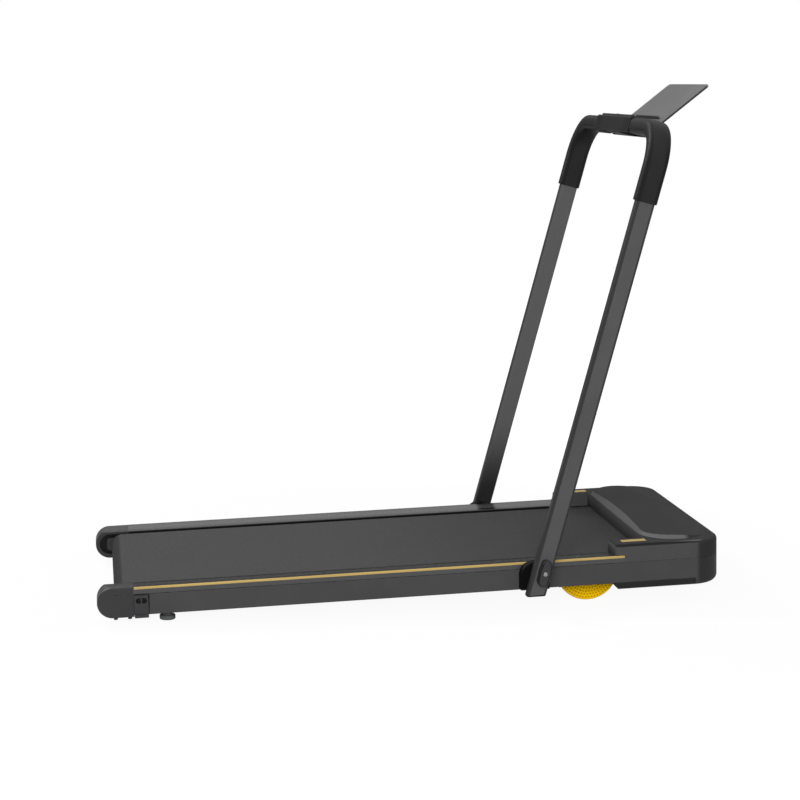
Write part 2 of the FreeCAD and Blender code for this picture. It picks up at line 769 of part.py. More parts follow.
def build_drive():
    wheel = grooved_pulley(front_axle_x, axle_z, roller_pulley_radius)
    sleeve = rod(front_axle_x, axle_z, 2 * shaft_radius, roller_half, pulley_start)
    bore = rod(front_axle_x, axle_z, shaft_radius + run_clearance, 0, half)
    parts["roller_pulley"] = wheel.fuse(sleeve).removeSplitter().cut(bore)

    can = rod(motor_x, motor_z, motor_radius, motor_start, motor_end)
    can = soften(can, edge_radius, lambda e: e.BoundBox.YLength < overlap)
    inside = rod(motor_x, motor_z, motor_radius - motor_wall, motor_start + motor_wall,
                 motor_end - motor_bell)
    bore = rod(motor_x, motor_z, rotor_shaft_radius + run_clearance, motor_end - 2 * motor_bell,
               motor_end + overlap)
    parts["motor_body"] = can.cut(inside).cut(bore)

    shaft = rod(motor_x, motor_z, rotor_shaft_radius, motor_end - 2 * motor_bell,
                pulley_start + pulley_width)
    flywheel = rod(motor_x, motor_z, flywheel_radius, flywheel_start, flywheel_start + flywheel_width)
    rotor = shaft.fuse(flywheel).fuse(grooved_pulley(motor_x, motor_z, motor_pulley_radius))
    parts["motor_rotor"] = rotor.removeSplitter()

    belt_start = pulley_start + drive_belt_margin
    belt_end = pulley_start + pulley_width - drive_belt_margin
    parts["drive_belt"] = loop((front_axle_x, axle_z), roller_pulley_radius + roller_gap,
                               (motor_x, motor_z), motor_pulley_radius + roller_gap,
                               drive_belt_thickness, belt_start, belt_end)

    saddle = box(motor_x - motor_bracket_reach, corner_x, motor_start + motor_bell, motor_end - motor_bell, 0,
                 motor_bracket_height)
    parts["motor_bracket"] = saddle.cut(rod(motor_x, motor_z, motor_radius, motor_start, motor_end))

    z0 = pcb_standoff
    z1 = z0 + board_pcb
    board = box(pcb_start_x, pcb_end_x, pcb_start_y, pcb_end_y, z0, z1)
    for x in (pcb_start_x + pcb_standoff, pcb_end_x - pcb_standoff):
        for y in (pcb_start_y + pcb_standoff, pcb_end_y - pcb_standoff):
            board = board.fuse(stud(x, y, pcb_standoff / 2, 0, z0))
    sink_x0 = pcb_start_x + pcb_standoff
    sink_x1 = pcb_end_x - 2 * pcb_standoff
    sink_y = pcb_start_y + 2 * pcb_standoff
    sink_end = sink_y + fin_pitch * (fin_count - 1) + fin_width
    board = board.fuse(box(sink_x0, sink_x1, sink_y, sink_end, z1, z1 + fin_width))
    for index in range(fin_count):
        y = sink_y + fin_pitch * index
        board = board.fuse(box(sink_x0, sink_x1, y, y + fin_width, z1, z1 + sink_height))
    for index in (1, 2):
        x = pcb_start_x + 2.6 * capacitor_radius * index - pcb_standoff
        board = board.fuse(stud(x, pcb_end_y - 3 * capacitor_radius, capacitor_radius, z1,
                                z1 + capacitor_height))
    parts["control_board"] = board.removeSplitter()


def build_inlet():
    face = hood_front_x
    y0 = inlet_y - inlet_width / 2
    y1 = inlet_y + inlet_width / 2
    z0 = inlet_z - inlet_height / 2
    z1 = inlet_z + inlet_height / 2
    panel = box(face - inlet_depth, face, y0, y1, z0, z1)
    flange = box(face, face + inlet_flange_thickness, y0 - inlet_flange, y1 + inlet_flange, z0 - inlet_flange,
                 z1 + inlet_flange)
    flange = soften(flange, inlet_flange, lambda e: near(e.BoundBox.XLength, inlet_flange_thickness))
    front = face + inlet_flange_thickness + overlap
    y = inlet_y + socket_y
    socket = box(face - socket_depth, front, y - socket_width / 2, y + socket_width / 2,
                 inlet_z - socket_height / 2, inlet_z + socket_height / 2)
    panel = panel.fuse(flange).removeSplitter().cut(socket)
    low_pins = ((-socket_pin_spread, -socket_pin_drop), (socket_pin_spread, -socket_pin_drop))
    for dy, dz in low_pins + ((0.0, socket_pin_rise),):
        pin = box(face - socket_depth - overlap, face - pin_recess, y + dy - socket_pin / 2,
                  y + dy + socket_pin / 2, inlet_z + dz - socket_pin, inlet_z + dz + socket_pin)
        panel = panel.fuse(pin)
    y = inlet_y + rocker_y
    slot = box(face - socket_depth, front, y - rocker_slot_width / 2, y + rocker_slot_width / 2,
               inlet_z - rocker_slot_height / 2, inlet_z + rocker_slot_height / 2)
    parts["power_inlet"] = panel.removeSplitter().cut(slot)
    pivot = face - rocker_pivot_depth
    rocker = box(pivot - rocker_depth / 2, pivot + rocker_depth / 2, y - rocker_width / 2,
                 y + rocker_width / 2, inlet_z - rocker_height / 2, inlet_z + rocker_height / 2)
    dish = rod(pivot + 5 * rocker_depth, inlet_z, 4.65 * rocker_depth, y - rocker_width, y + rocker_width)
    rocker = rocker.cut(dish)
    rocker.rotate(V(pivot, 0, inlet_z), V(0, 1, 0), -rocker_tilt)
    parts["rocker_switch"] = rocker


def bent_bar(width, depth, corner, start, end_y):
    """Left half of the bent handrail: post, bend and crossbar, all of one section."""
    bend_y = post_y - bend_radius
    bend_z = handle_reach - bend_radius
    post = round_rect(width, depth, corner, bend_z - start)
    post.translate(V(0, post_y, start))
    top = [face for face in post.Faces if near(face.BoundBox.ZMin, bend_z)][0]
    bend = top.revolve(V(0, bend_y, bend_z), V(1, 0, 0), 90)
    bar = round_rect(width, depth, corner, bend_y - end_y)
    bar.rotate(V(0, 0, 0), V(1, 0, 0), 90)
    bar.translate(V(0, bend_y, handle_reach))
    return post.fuse(bend).fuse(bar).removeSplitter()


def build_handrail():
    outer = bent_bar(post_width, post_depth, post_corner, -post_tail, 0)
    inner = bent_bar(post_width - 2 * tube_wall, post_depth - 2 * tube_wall, post_corner - tube_wall,
                     -post_tail - overlap, -overlap)
    tube = outer.cut(inner).cut(rod(0, 0, bolt_radius + run_clearance, 0, half + post_y))
    tube = tube.cut(box(-post_width, post_width, -half, 0, 0, 2 * handle_reach))
    tube = from_handle(tube.fuse(mirror(tube)).removeSplitter())
    post_end = post_low + plug_cap
    below = box(0, hood_front_x, -deck_width, deck_width, -handle_reach, post_end)
    parts["handle_tube"] = tube.cut(below)

    grow = 2 * grip_thickness
    foam = bent_bar(post_width + grow, post_depth + grow, post_corner + grip_thickness, grip_start,
                    console_half + grip_edge_gap)
    pair("grip", from_handle(foam.cut(outer)))

    cap = round_rect(post_width, post_depth, post_corner, post_tail)
    slack = 2 * tube_wall + 2 * run_clearance
    insert = round_rect(post_width - slack, post_depth - slack, post_corner - tube_wall, post_tail)
    cap.translate(V(0, post_y, -post_tail))
    insert.translate(V(0, post_y, -post_tail))
    cap = from_handle(cap).common(box(0, hood_front_x, 0, deck_width, post_low, post_end))
    cap = soften(cap, edge_radius, lambda e: lies(e, "z", post_low))
    insert = from_handle(insert).common(box(0, hood_front_x, 0, deck_width, post_end, post_end + plug_insert))
    parts["post_plugs"] = both(cap.fuse(insert))

    block_x = pivot_x - block_setback
    arch = hull_face((block_x, block_z), block_radius, (block_x, -block_radius), block_radius, half)
    block = arch.extrude(V(0, block_width, 0))
    block = block.common(box(0, hood_front_x, 0, deck_width, block_low, hood_front_x))
    outer_y = half + block_width
    block = soften(block, block_edge_radius,
                   lambda e: lies(e, "y", outer_y) and e.BoundBox.ZLength > overlap)
    bore = rod(pivot_x, pivot_z, bolt_radius + run_clearance, half + bolt_seat, deck_width)
    pair("hinge_block", block.cut(bore))
    bolt = rod(pivot_x, pivot_z, bolt_radius, half + bolt_seat, knob_face + bolt_show)
    bolt = soften(bolt, bolt_show - overlap / 4, lambda e: lies(e, "y", knob_face + bolt_show))
    parts["pivot_bolts"] = both(bolt)

    upper = hull_face((0, 0), knob_hub_radius, (0, knob_end_offset), knob_end_radius, knob_start)
    lower = hull_face((0, 0), knob_hub_radius, (0, -knob_end_offset), knob_end_radius, knob_start)
    wing = upper.extrude(V(0, knob_height, 0)).fuse(lower.extrude(V(0, knob_height, 0))).removeSplitter()
    wing = soften(wing, knob_edge_radius, lambda e: lies(e, "y", knob_face))
    wing = wing.cut(rod(0, 0, bolt_radius + run_clearance, 0, deck_width))
    pair("clamp_knob", from_handle(wing))


def build_console():
    z = handle_reach
    body = box(-console_depth / 2, console_depth / 2, -console_half, console_half, z - console_skirt,
               z + console_top)
    body = soften(body, console_edge_radius, lambda e: lies(e, "z", z + console_top)
                  or near(e.BoundBox.ZLength, console_skirt + console_top))
    channel = box(-post_width / 2, post_width / 2, -half, half, z - post_depth, z + post_depth / 2)
    body = body.cut(channel)
    axis_z = z + hinge_up
    for y in (lug_near, -lug_far):
        lug = hull_face((hinge_forward, axis_z), hinge_radius, (console_depth / 2 - hinge_radius, axis_z),
                        hinge_radius, y).extrude(V(0, lug_width, 0))
        body = body.fuse(lug.cut(channel))
    body = body.removeSplitter().cut(rod(hinge_forward, axis_z, pin_radius + run_clearance, -half, half))

    lid = box(-lid_depth / 2, lid_depth / 2, -lid_half, lid_half, z + console_top, z + lid_top)
    lid = soften(lid, console_edge_radius, lambda e: near(e.BoundBox.ZLength, lid_height))
    lid = soften(lid, lid_edge_radius, lambda e: lies(e, "z", z + lid_top))
    window = box(window_shift - window_depth / 2, window_shift + window_depth / 2, -window_half, window_half,
                 z + lid_top - window_thickness, z + lid_top)
    lid = lid.cut(window)
    seat = z + lid_top - button_height
    spots = (("button_slower", 0.0, -button_y), ("button_start", start_button_row, 0.0),
             ("button_faster", 0.0, button_y))
    for name, x, y in spots:
        well = stud(x, y, button_radius + button_gap, seat - 2 * button_travel, z + lid_top + overlap)
        body = body.cut(well)
        lid = lid.cut(well)
        cap = stud(x, y, button_radius, seat, z + lid_top + button_travel)
        cap = soften(cap, edge_radius / 4, lambda e: lies(e, "z", z + lid_top + button_travel))
        parts[name] = from_handle(cap)
    parts["console_body"] = from_handle(body)
    parts["console_lid"] = from_handle(lid)
    parts["display_window"] = from_handle(window)
    inside = post_width / 2 - seat_clearance
    under = z - post_depth / 2
    clamp = box(-inside, inside, -clamp_half, clamp_half, under - clamp_height, under)
    clamp = soften(clamp, console_edge_radius, lambda e: lies(e, "z", under - clamp_height))
    parts["console_clamp"] = from_handle(clamp)


def build_tablet():
    thick = tablet_thickness / 2
    plate = box(0, tablet_length, -tablet_half, tablet_half, -thick, thick)
    plate = soften(plate, tablet_corner,
                   lambda e: near(e.BoundBox.ZLength, tablet_thickness) and e.BoundBox.XMin > 0)
    barrel = rod(0, 0, hinge_radius, -tablet_half, tablet_half)
    plate = plate.fuse(barrel).removeSplitter()
    room = hinge_radius + lug_gap
    reach = room + hinge_radius
    gap = box(-reach, room + lug_gap, lug_near - lug_gap, lug_far + lug_gap, -reach, reach)
    plate = plate.cut(gap).cut(mirror(gap)).cut(rod(0, 0, pin_radius + run_clearance, -half, half))
    ledge = box(ledge_at, ledge_at + ledge_thickness, -ledge_half, ledge_half, thick, thick + ledge_height)
    ledge = soften(ledge, edge_radius / 2, lambda e: lies(e, "z", thick + ledge_height))
    pin = rod(0, 0, pin_radius, -pin_half, pin_half)
    for name, shape in (("tablet_plate", plate), ("tablet_ledge", ledge), ("tablet_pin", pin)):
        shape.rotate(V(0, 0, 0), V(0, 1, 0), -tablet_angle)
        shape.translate(V(hinge_forward, 0, handle_reach + hinge_up))
        parts[name] = from_handle(shape)


build_rails()
build_caps()
build_running_gear()
build_feet()
build_hood()
build_pan()
build_drive()
build_inlet()
build_handrail()
build_console()
build_tablet()

placed = {name: to_floor(shape) for name, shape in parts.items()}
limits = [shape.optimalBoundingBox(False) for shape in placed.values()]
shift_x = -(min(b.XMin for b in limits) + max(b.XMax for b in limits)) / 2
for name, shape in placed.items():
    shape.translate(V(shift_x, 0, 0))
    shape.exportStep("parts/" + name + ".step")
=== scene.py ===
import json
import logging
import math
from dataclasses import dataclass
from enum import Enum, unique
from typing import Callable, Dict, Optional, Sequence, Tuple, Union

import bpy
from mathutils import Color, Matrix, Vector


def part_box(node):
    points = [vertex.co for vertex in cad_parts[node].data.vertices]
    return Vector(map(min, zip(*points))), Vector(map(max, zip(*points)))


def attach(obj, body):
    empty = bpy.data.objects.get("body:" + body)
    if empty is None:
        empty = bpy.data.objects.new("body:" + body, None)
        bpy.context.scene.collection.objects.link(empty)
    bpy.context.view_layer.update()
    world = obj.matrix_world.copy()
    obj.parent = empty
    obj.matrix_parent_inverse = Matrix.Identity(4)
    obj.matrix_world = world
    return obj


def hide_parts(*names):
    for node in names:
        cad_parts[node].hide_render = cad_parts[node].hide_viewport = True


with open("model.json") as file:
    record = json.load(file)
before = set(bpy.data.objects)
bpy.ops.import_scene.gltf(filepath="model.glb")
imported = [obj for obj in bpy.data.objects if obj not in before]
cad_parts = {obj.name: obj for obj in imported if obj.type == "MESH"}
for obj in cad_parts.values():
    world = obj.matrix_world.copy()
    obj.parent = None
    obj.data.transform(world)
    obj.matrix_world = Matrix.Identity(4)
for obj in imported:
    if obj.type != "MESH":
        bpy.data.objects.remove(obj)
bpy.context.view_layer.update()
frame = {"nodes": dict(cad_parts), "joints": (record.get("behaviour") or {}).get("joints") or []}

Colour = Tuple[float, float, float]
FullColour = Tuple[float, float, float, float]
Place = Tuple[float, float, float]
# First and last value of a range
Span = Tuple[float, float]
Socket = bpy.types.NodeSocket
Axes = Tuple[Socket, ...]
Value = Union[Socket, float, Sequence[float]]
Inputs = Dict[Union[str, int], Value]

WHITE: FullColour = (1.0, 1.0, 1.0, 1.0)
DUST_GREY: FullColour = (0.32, 0.32, 0.31, 1.0)
DUST_SPECKS = 120.0
WEAR_PATCHES = 60.0
COAT_ROUGHNESS = 0.12
LEAST_ROUGHNESS = 0.03
ROUGHNESS_SWING = 0.07
RELIEF_STRENGTH = 0.6

# The values that most of a noise falls between
MOST_NOISE: Span = (0.3, 0.7)
# How far a face looks along x, where a painted shade begins and where it is complete
LOOKS_TO_ENDS: Span = (0.06, 0.3)
LOOKS_FORWARD: Span = (0.02, 0.15)

log = logging.getLogger("walking_pad")


def tone(red: int, green: int, blue: int) -> Colour:
    """Turns an 8-bit screen colour into linear light."""
    screen = Color((red / 255, green / 255, blue / 255))
    return tuple(screen.from_srgb_to_scene_linear())


def shaded(colour: Colour, factor: float = 1.0) -> FullColour:
    """Scales a linear colour and adds full opacity."""
    red, green, blue = (channel * factor for channel in colour)
    return red, green, blue, 1.0


def joint(name: str) -> dict:
    """The record of one joint."""
    return next(entry for entry in frame["joints"] if entry["name"] == name)


class Side(Enum):
    """The walker's two sides, as the ending of the node names there."""

    LEFT = "_L"
    RIGHT = "_R"


def both_sides(name: str) -> Tuple[str, ...]:
    """Names of a piece on the left and on the right."""
    return tuple(name + side.value for side in Side)


class Lay(Enum):
    """Which way fine lines run over a surface, as the stretch of their noise."""

    ALONG_X = (8.0, 900.0, 900.0)
    ALONG_Y = (900.0, 8.0, 900.0)
    PRESSED_FLAT = (60.0, 60.0, 1500.0)


class SocketKind(Enum):
    """What a socket of a node group carries."""

    VALUE = "NodeSocketFloat"
    VECTOR = "NodeSocketVector"


class ShaderSheet:
    """A hand for drawing one shader tree."""

    def __init__(self, tree: bpy.types.NodeTree) -> None:
        """Keeps the tree that is drawn on."""
        self.tree = tree

    @classmethod
    def blank(cls, owner: Union[bpy.types.Material, bpy.types.World]) -> "ShaderSheet":
        """Empties the node tree of a material or a world.

        Args:
            owner: What the tree belongs to.

        Returns:
            The sheet for that tree.
        """
        owner.use_nodes = True
        owner.node_tree.nodes.clear()
        return cls(owner.node_tree)

    def feed(self, socket: Socket, value: Value) -> None:
        """Links a socket to another socket, or sets its value.

        Args:
            socket: The input that is fed.
            value: A socket to link from, or a plain value.
        """
        if isinstance(value, bpy.types.NodeSocket):
            self.tree.links.new(value, socket)
        else:
            socket.default_value = value

    def add(self, kind: str, inputs: Optional[Inputs] = None, **settings: object) -> bpy.types.Node:
        """Adds a node.

        Args:
            kind: Blender's name of the node type.
            inputs: Values for its inputs, by name or number.
            **settings: Values for its own properties.

        Returns:
            The new node.
        """
        node = self.tree.nodes.new(kind)
        for name, setting in settings.items():
            setattr(node, name, setting)
        for key, value in (inputs or {}).items():
            self.feed(node.inputs[key], value)
        return node

    def group(self, tree: bpy.types.NodeTree, inputs: Inputs) -> bpy.types.Node:
        """Places a shared effect with its own values."""
        return self.add("ShaderNodeGroup", inputs, node_tree=tree)

    def math(self, operation: str, *values: Value) -> Socket:
        """Works out one value from its operands."""
        return self.add("ShaderNodeMath", dict(enumerate(values)), operation=operation).outputs[0]

    def gap(self, value: Value, middle: float) -> Socket:
        """How far a value lies from a middle."""
        return self.math("ABSOLUTE", self.math("SUBTRACT", value, middle))

    def length(self, first: Socket, second: Socket) -> Socket:
        """Length of the diagonal over two sides at a right angle."""
        squares = (self.math("MULTIPLY", side, side) for side in (first, second))
        return self.math("SQRT", self.math("ADD", *squares))

    def band(self, value: Value, span: Span, results: Span = (0.0, 1.0)) -> Socket:
        """Maps a span of values smoothly onto a span of results, and holds its ends."""
        inputs = dict(enumerate((value, *span, *results)))
        return self.add("ShaderNodeMapRange", inputs, interpolation_type="SMOOTHSTEP").outputs[0]

    def mix(self, factor: Value, first: Value, second: Value, way: str = "MIX") -> Socket:
        """Mixes a second colour into a first one: the node's inputs 6 and 7 and its output 2."""
        inputs = {0: factor, 6: first, 7: second}
        return self.add("ShaderNodeMix", inputs, data_type="RGBA", blend_type=way).outputs[2]

    def noise(self, vector: Socket, scale: Value, detail: float, roughness: float = 0.5) -> Socket:
        """Cloudy noise, mostly within MOST_NOISE."""
        inputs = {"Vector": vector, "Scale": scale, "Detail": detail, "Roughness": roughness}
        return self.add("ShaderNodeTexNoise", inputs).outputs[0]

    def axes(self, vector: Socket) -> Axes:
        """Splits a vector into X, Y and Z."""
        return tuple(self.add("ShaderNodeSeparateXYZ", {"Vector": vector}).outputs)

    def place(self) -> Socket:
        """The point that is shaded, in the object's own metres."""
        return self.add("ShaderNodeTexCoord").outputs["Object"]

    def spot(self) -> Axes:
        """X, Y and Z of the point that is shaded."""
        return self.axes(self.place())

    def facing(self) -> Axes:
        """X, Y and Z of the way that the surface looks, in the object's own frame."""
        return self.axes(self.add("ShaderNodeTexCoord").outputs["Normal"])


@dataclass
class Effects:
    """Effects that several finishes share, each a node group that is drawn once.

    A span gives where an effect begins and where it is complete.

    Attributes:
        cloud_scale: Clouds to the metre, roughly.
        edge_rays: How many rays look for an edge.
        edge_turn: Cosine of a worn edge's turn.
        worn_noise: Noise in a worn patch.
        looks_up: How far up a dusty face looks.
        dust_noise: Noise in a speck of dust.
    """

    cloud_scale: float = 9.0
    edge_rays: int = 6
    edge_turn: Span = (0.985, 0.86)
    worn_noise: Span = (0.42, 0.62)
    looks_up: Span = (0.55, 0.95)
    dust_noise: Span = (0.46, 0.7)

    def __post_init__(self) -> None:
        """Draws the groups."""
        self.grain = self._grain()
        self.edges = self._edges()
        self.brushing = self._brushing()
        self.dust = self._dust()

    @staticmethod
    def _start(
        name: str, inputs: Dict[str, SocketKind], outputs: Dict[str, SocketKind]
    ) -> Tuple[ShaderSheet, bpy.types.NodeOutputs, bpy.types.NodeInputs]:
        """Opens a new group.

        Args:
            name: The group's name.
            inputs: Its named inputs.
            outputs: Its named outputs.

        Returns:
            The sheet to draw on, the sockets that are given and the sockets to feed.
        """
        tree = bpy.data.node_groups.new(name, "ShaderNodeTree")
        for way, sockets in (("INPUT", inputs), ("OUTPUT", outputs)):
            for label, kind in sockets.items():
                tree.interface.new_socket(name=label, in_out=way, socket_type=kind.value)
        sheet = ShaderSheet(tree)
        return sheet, sheet.add("NodeGroupInput").outputs, sheet.add("NodeGroupOutput").inputs

    def _grain(self) -> bpy.types.NodeTree:
        """Draws the fine moulded grain and the slow cloudiness of a surface.

        Returns:
            The node group.
        """
        sheet, given, out = self._start(
            "moulded_grain",
            {"Scale": SocketKind.VALUE},
            {"Fine": SocketKind.VALUE, "Cloud": SocketKind.VALUE},
        )
        place = sheet.place()
        cloud = sheet.noise(place, self.cloud_scale, detail=3.0, roughness=0.55)
        sheet.feed(out["Fine"], sheet.noise(place, given["Scale"], detail=3.0, roughness=0.6))
        sheet.feed(out["Cloud"], sheet.band(cloud, MOST_NOISE))
        return sheet.tree

    def _edges(self) -> bpy.types.NodeTree:
        """Draws a softly rounded normal at hard edges, and a mask of where the edges rub.

        Returns:
            The node group.
        """
        sheet, given, out = self._start(
            "rubbed_edges",
            {"Radius": SocketKind.VALUE, "Patches": SocketKind.VALUE},
            {"Mask": SocketKind.VALUE, "Normal": SocketKind.VECTOR},
        )
        soft = sheet.add("ShaderNodeBevel", {"Radius": given["Radius"]}, samples=self.edge_rays).outputs[0]
        flat = sheet.add("ShaderNodeNewGeometry").outputs["Normal"]
        turn = sheet.add("ShaderNodeVectorMath", {0: soft, 1: flat}, operation="DOT_PRODUCT").outputs["Value"]
        patch = sheet.noise(sheet.place(), given["Patches"], detail=4.0, roughness=0.65)
        bare = sheet.math("MULTIPLY", sheet.band(turn, self.edge_turn), sheet.band(patch, self.worn_noise))
        sheet.feed(out["Mask"], bare)
        sheet.feed(out["Normal"], soft)
        return sheet.tree

    def _brushing(self) -> bpy.types.NodeTree:
        """Draws fine lines that run one way.

        Returns:
            The node group.
        """
        sheet, given, out = self._start(
            "brushed_lines", {"Stretch": SocketKind.VECTOR}, {"Lines": SocketKind.VALUE}
        )
        drawn = sheet.add("ShaderNodeMapping", {"Vector": sheet.place(), "Scale": given["Stretch"]})
        sheet.feed(out["Lines"], sheet.noise(drawn.outputs[0], scale=1.0, detail=3.0))
        return sheet.tree

    def _dust(self) -> bpy.types.NodeTree:
        """Draws thin dust where a surface faces up.

        Returns:
            The node group.
        """
        sheet, given, out = self._start(
            "settled_dust", {"Spread": SocketKind.VALUE}, {"Mask": SocketKind.VALUE}
        )
        specks = sheet.noise(sheet.place(), given["Spread"], detail=5.0, roughness=0.7)
        up = sheet.band(sheet.facing()[2], self.looks_up)
        sheet.feed(out["Mask"], sheet.math("MULTIPLY", up, sheet.band(specks, self.dust_noise)))
        return sheet.tree


@dataclass(frozen=True)
class Surface:
    """What a finish is drawn on and with.

    Attributes:
        sheet: The material's sheet.
        effects: The shared node groups.
        fine: Fine grain, from 0 to 1.
        cloud: Slow cloudiness, from 0 to 1.
    """

    sheet: ShaderSheet
    effects: Effects
    fine: Socket
    cloud: Socket

    def lines(self, lay: Lay) -> Socket:
        """Fine lines, from 0 to 1."""
        return self.sheet.group(self.effects.brushing, {"Stretch": lay.value}).outputs["Lines"]


@dataclass(frozen=True)
class Finish:
    """A moulded, painted or plated surface with grain, soft edges, edge wear and dust, and painted shade on
    its ends where a finish asks for it.

    Here and in the finishes below, a shade or a lift is what the colour is multiplied by, and the
    span of a place, a facing or a reach gives where a tone begins and where it is complete.

    Attributes:
        colour: Linear base colour.
        roughness: Mean roughness.
        metallic: 0 for plastic and paint, 1 for bare metal.
        specular: Specular level of the shader.
        grain_scale: Grains to the metre, roughly.
        grain_depth: Height of the grain in metres.
        cloud: How far the colour drifts over the surface, as a share.
        wear: How far rubbed edges go towards the wear colour.
        wear_colour: Linear colour of rubbed edges.
        dust: How far dust lightens faces that look up.
        edge: Radius of the soft edge highlight in metres.
        coat: Weight of a clear coat.
        painted_end_shade: Painted shade on faces that look forward or back.
    """

    colour: Colour
    roughness: float = 0.5
    metallic: float = 0.0
    specular: float = 0.35
    grain_scale: float = 1400.0
    grain_depth: float = 0.00012
    cloud: float = 0.06
    wear: float = 0.25
    wear_colour: Colour = (0.2, 0.2, 0.2)
    dust: float = 0.06
    edge: float = 0.0012
    coat: float = 0.0
    painted_end_shade: float = 1.0

    def tint(self, factor: float) -> FullColour:
        """The base colour times a factor."""
        return shaded(self.colour, factor)

    def tints(self, sheet: ShaderSheet, share: Value, factors: Span) -> Socket:
        """The base colour times a factor that goes from a first one to a last one."""
        return sheet.mix(share, self.tint(factors[0]), self.tint(factors[1]))

    def height(self, surface: Surface) -> Socket:
        """Height of the surface's relief."""
        return surface.fine

    def ground(self, surface: Surface) -> Socket:
        """Colour of the bare material."""
        return self.tints(surface.sheet, surface.cloud, (1 - self.cloud, 1 + self.cloud))

    def ends(self, sheet: ShaderSheet, base: Socket) -> Socket:
        """Paints shade on the faces that look forward or back, if that painted shade isn't 1.

        Args:
            sheet: The material's sheet.
            base: Colour so far.

        Returns:
            Colour with the painted shade on the ends.
        """
        if self.painted_end_shade == 1.0:
            return base
        mask = sheet.band(sheet.math("ABSOLUTE", sheet.facing()[0]), LOOKS_TO_ENDS)
        return sheet.mix(mask, base, self.tint(self.painted_end_shade))

    def shade(self, sheet: ShaderSheet, base: Socket) -> Socket:
        """Gives parts of the surface tones of their own, in a finish that has such parts."""
        return base

    def make(self, name: str, effects: Effects) -> bpy.types.Material:
        """Draws the material.

        Args:
            name: The material's name.
            effects: The shared node groups.

        Returns:
            The finished material.
        """
        material = bpy.data.materials.new(name)
        sheet = ShaderSheet.blank(material)
        grain = sheet.group(effects.grain, {"Scale": self.grain_scale}).outputs
        rubbed = sheet.group(effects.edges, {"Radius": self.edge, "Patches": WEAR_PATCHES}).outputs
        fallen = sheet.group(effects.dust, {"Spread": DUST_SPECKS}).outputs
        surface = Surface(sheet, effects, grain["Fine"], grain["Cloud"])
        # Painted shade on the ends, then each finish's own tones, most of them painted light and shade.
        clean = self.shade(sheet, self.ends(sheet, self.ground(surface)))
        worn = sheet.mix(sheet.math("MULTIPLY", rubbed["Mask"], self.wear), clean, shaded(self.wear_colour))
        dusty = sheet.mix(sheet.math("MULTIPLY", fallen["Mask"], self.dust), worn, DUST_GREY)
        smooth = max(LEAST_ROUGHNESS, self.roughness - ROUGHNESS_SWING)
        relief = sheet.add("ShaderNodeBump", {
            "Strength": RELIEF_STRENGTH,
            "Distance": self.grain_depth,
            "Height": self.height(surface),
            "Normal": rubbed["Normal"],
        })
        shader = sheet.add("ShaderNodeBsdfPrincipled", {
            "Base Color": dusty,
            "Metallic": self.metallic,
            "Roughness": sheet.band(grain["Fine"], MOST_NOISE, (smooth, self.roughness + ROUGHNESS_SWING)),
            "Specular IOR Level": self.specular,
            "Coat Weight": self.coat,
            "Coat Roughness": COAT_ROUGHNESS,
            "Normal": relief.outputs[0],
        })
        sheet.add("ShaderNodeOutputMaterial", {"Surface": shader.outputs[0]})
        return material


@dataclass(frozen=True)
class BrushedMetal(Finish):
    """Bare metal with lines from turning or drawing.

    Attributes:
        lay: Which way the lines run.
        line_tones: Shade and lift between the lines and on them.
    """

    lay: Lay = Lay.ALONG_Y
    line_tones: Span = (0.86, 1.08)

    def height(self, surface: Surface) -> Socket:
        """Lines instead of grain."""
        return surface.lines(self.lay)

    def ground(self, surface: Surface) -> Socket:
        """Metal whose lines catch a little more or less light."""
        caught = surface.sheet.band(surface.lines(self.lay), MOST_NOISE)
        return self.tints(surface.sheet, caught, self.line_tones)


@dataclass(frozen=True)
class RailCover(Finish):
    """Foot rail: smooth plastic with painted shade beside the belt and on the outer edge, and dirt with
    painted shade along the seam.

    Attributes:
        lip_y: How far from the middle the lip lies, in metres.
        painted_belt_gap_shade: Painted shade, near black, on the wall beside the belt.
        edge_y: How far from the middle the outer edge lies, in metres.
        edge_facing: How far up the outer edge looks.
        painted_edge_shade: Painted shade on the outer edge.
        seam_z: Height of the seam with the side frame in the middle of the deck, in metres.
        seam_rise: How much the seam rises for each metre forward, as the deck does.
        seam_reach: Height of the dirt and painted shade above the seam, in metres.
        seam_dirt_and_painted_shade: Darkening of that strip, dirt with painted shade.
    """

    lip_y: Span = (0.243, 0.2424)
    painted_belt_gap_shade: float = 0.08
    edge_y: Span = (0.266, 0.27)
    edge_facing: Span = (0.3, 0.6)
    painted_edge_shade: float = 0.4
    seam_z: float = 0.0796
    seam_rise: float = 0.03195
    seam_reach: Span = (0.0016, 0.00096)
    seam_dirt_and_painted_shade: float = 0.25

    def shade(self, sheet: ShaderSheet, base: Socket) -> Socket:
        """Darkens the seam with dirt and painted shade, and paints shade on the outer edge and on the wall
        that faces the belt.

        Args:
            sheet: The material's sheet.
            base: Colour so far.

        Returns:
            Colour before wear and dust.
        """
        x, y, z = sheet.spot()
        level = sheet.math("SUBTRACT", z, sheet.math("MULTIPLY", x, self.seam_rise))
        seam = sheet.band(sheet.math("SUBTRACT", level, self.seam_z), self.seam_reach)
        base = sheet.mix(seam, base, self.tint(self.seam_dirt_and_painted_shade))
        across = sheet.math("ABSOLUTE", y)
        top = sheet.band(sheet.facing()[2], self.edge_facing)
        edge = sheet.math("MULTIPLY", top, sheet.band(across, self.edge_y))
        base = sheet.mix(edge, base, self.tint(self.painted_edge_shade))
        return sheet.mix(sheet.band(across, self.lip_y), base, self.tint(self.painted_belt_gap_shade))


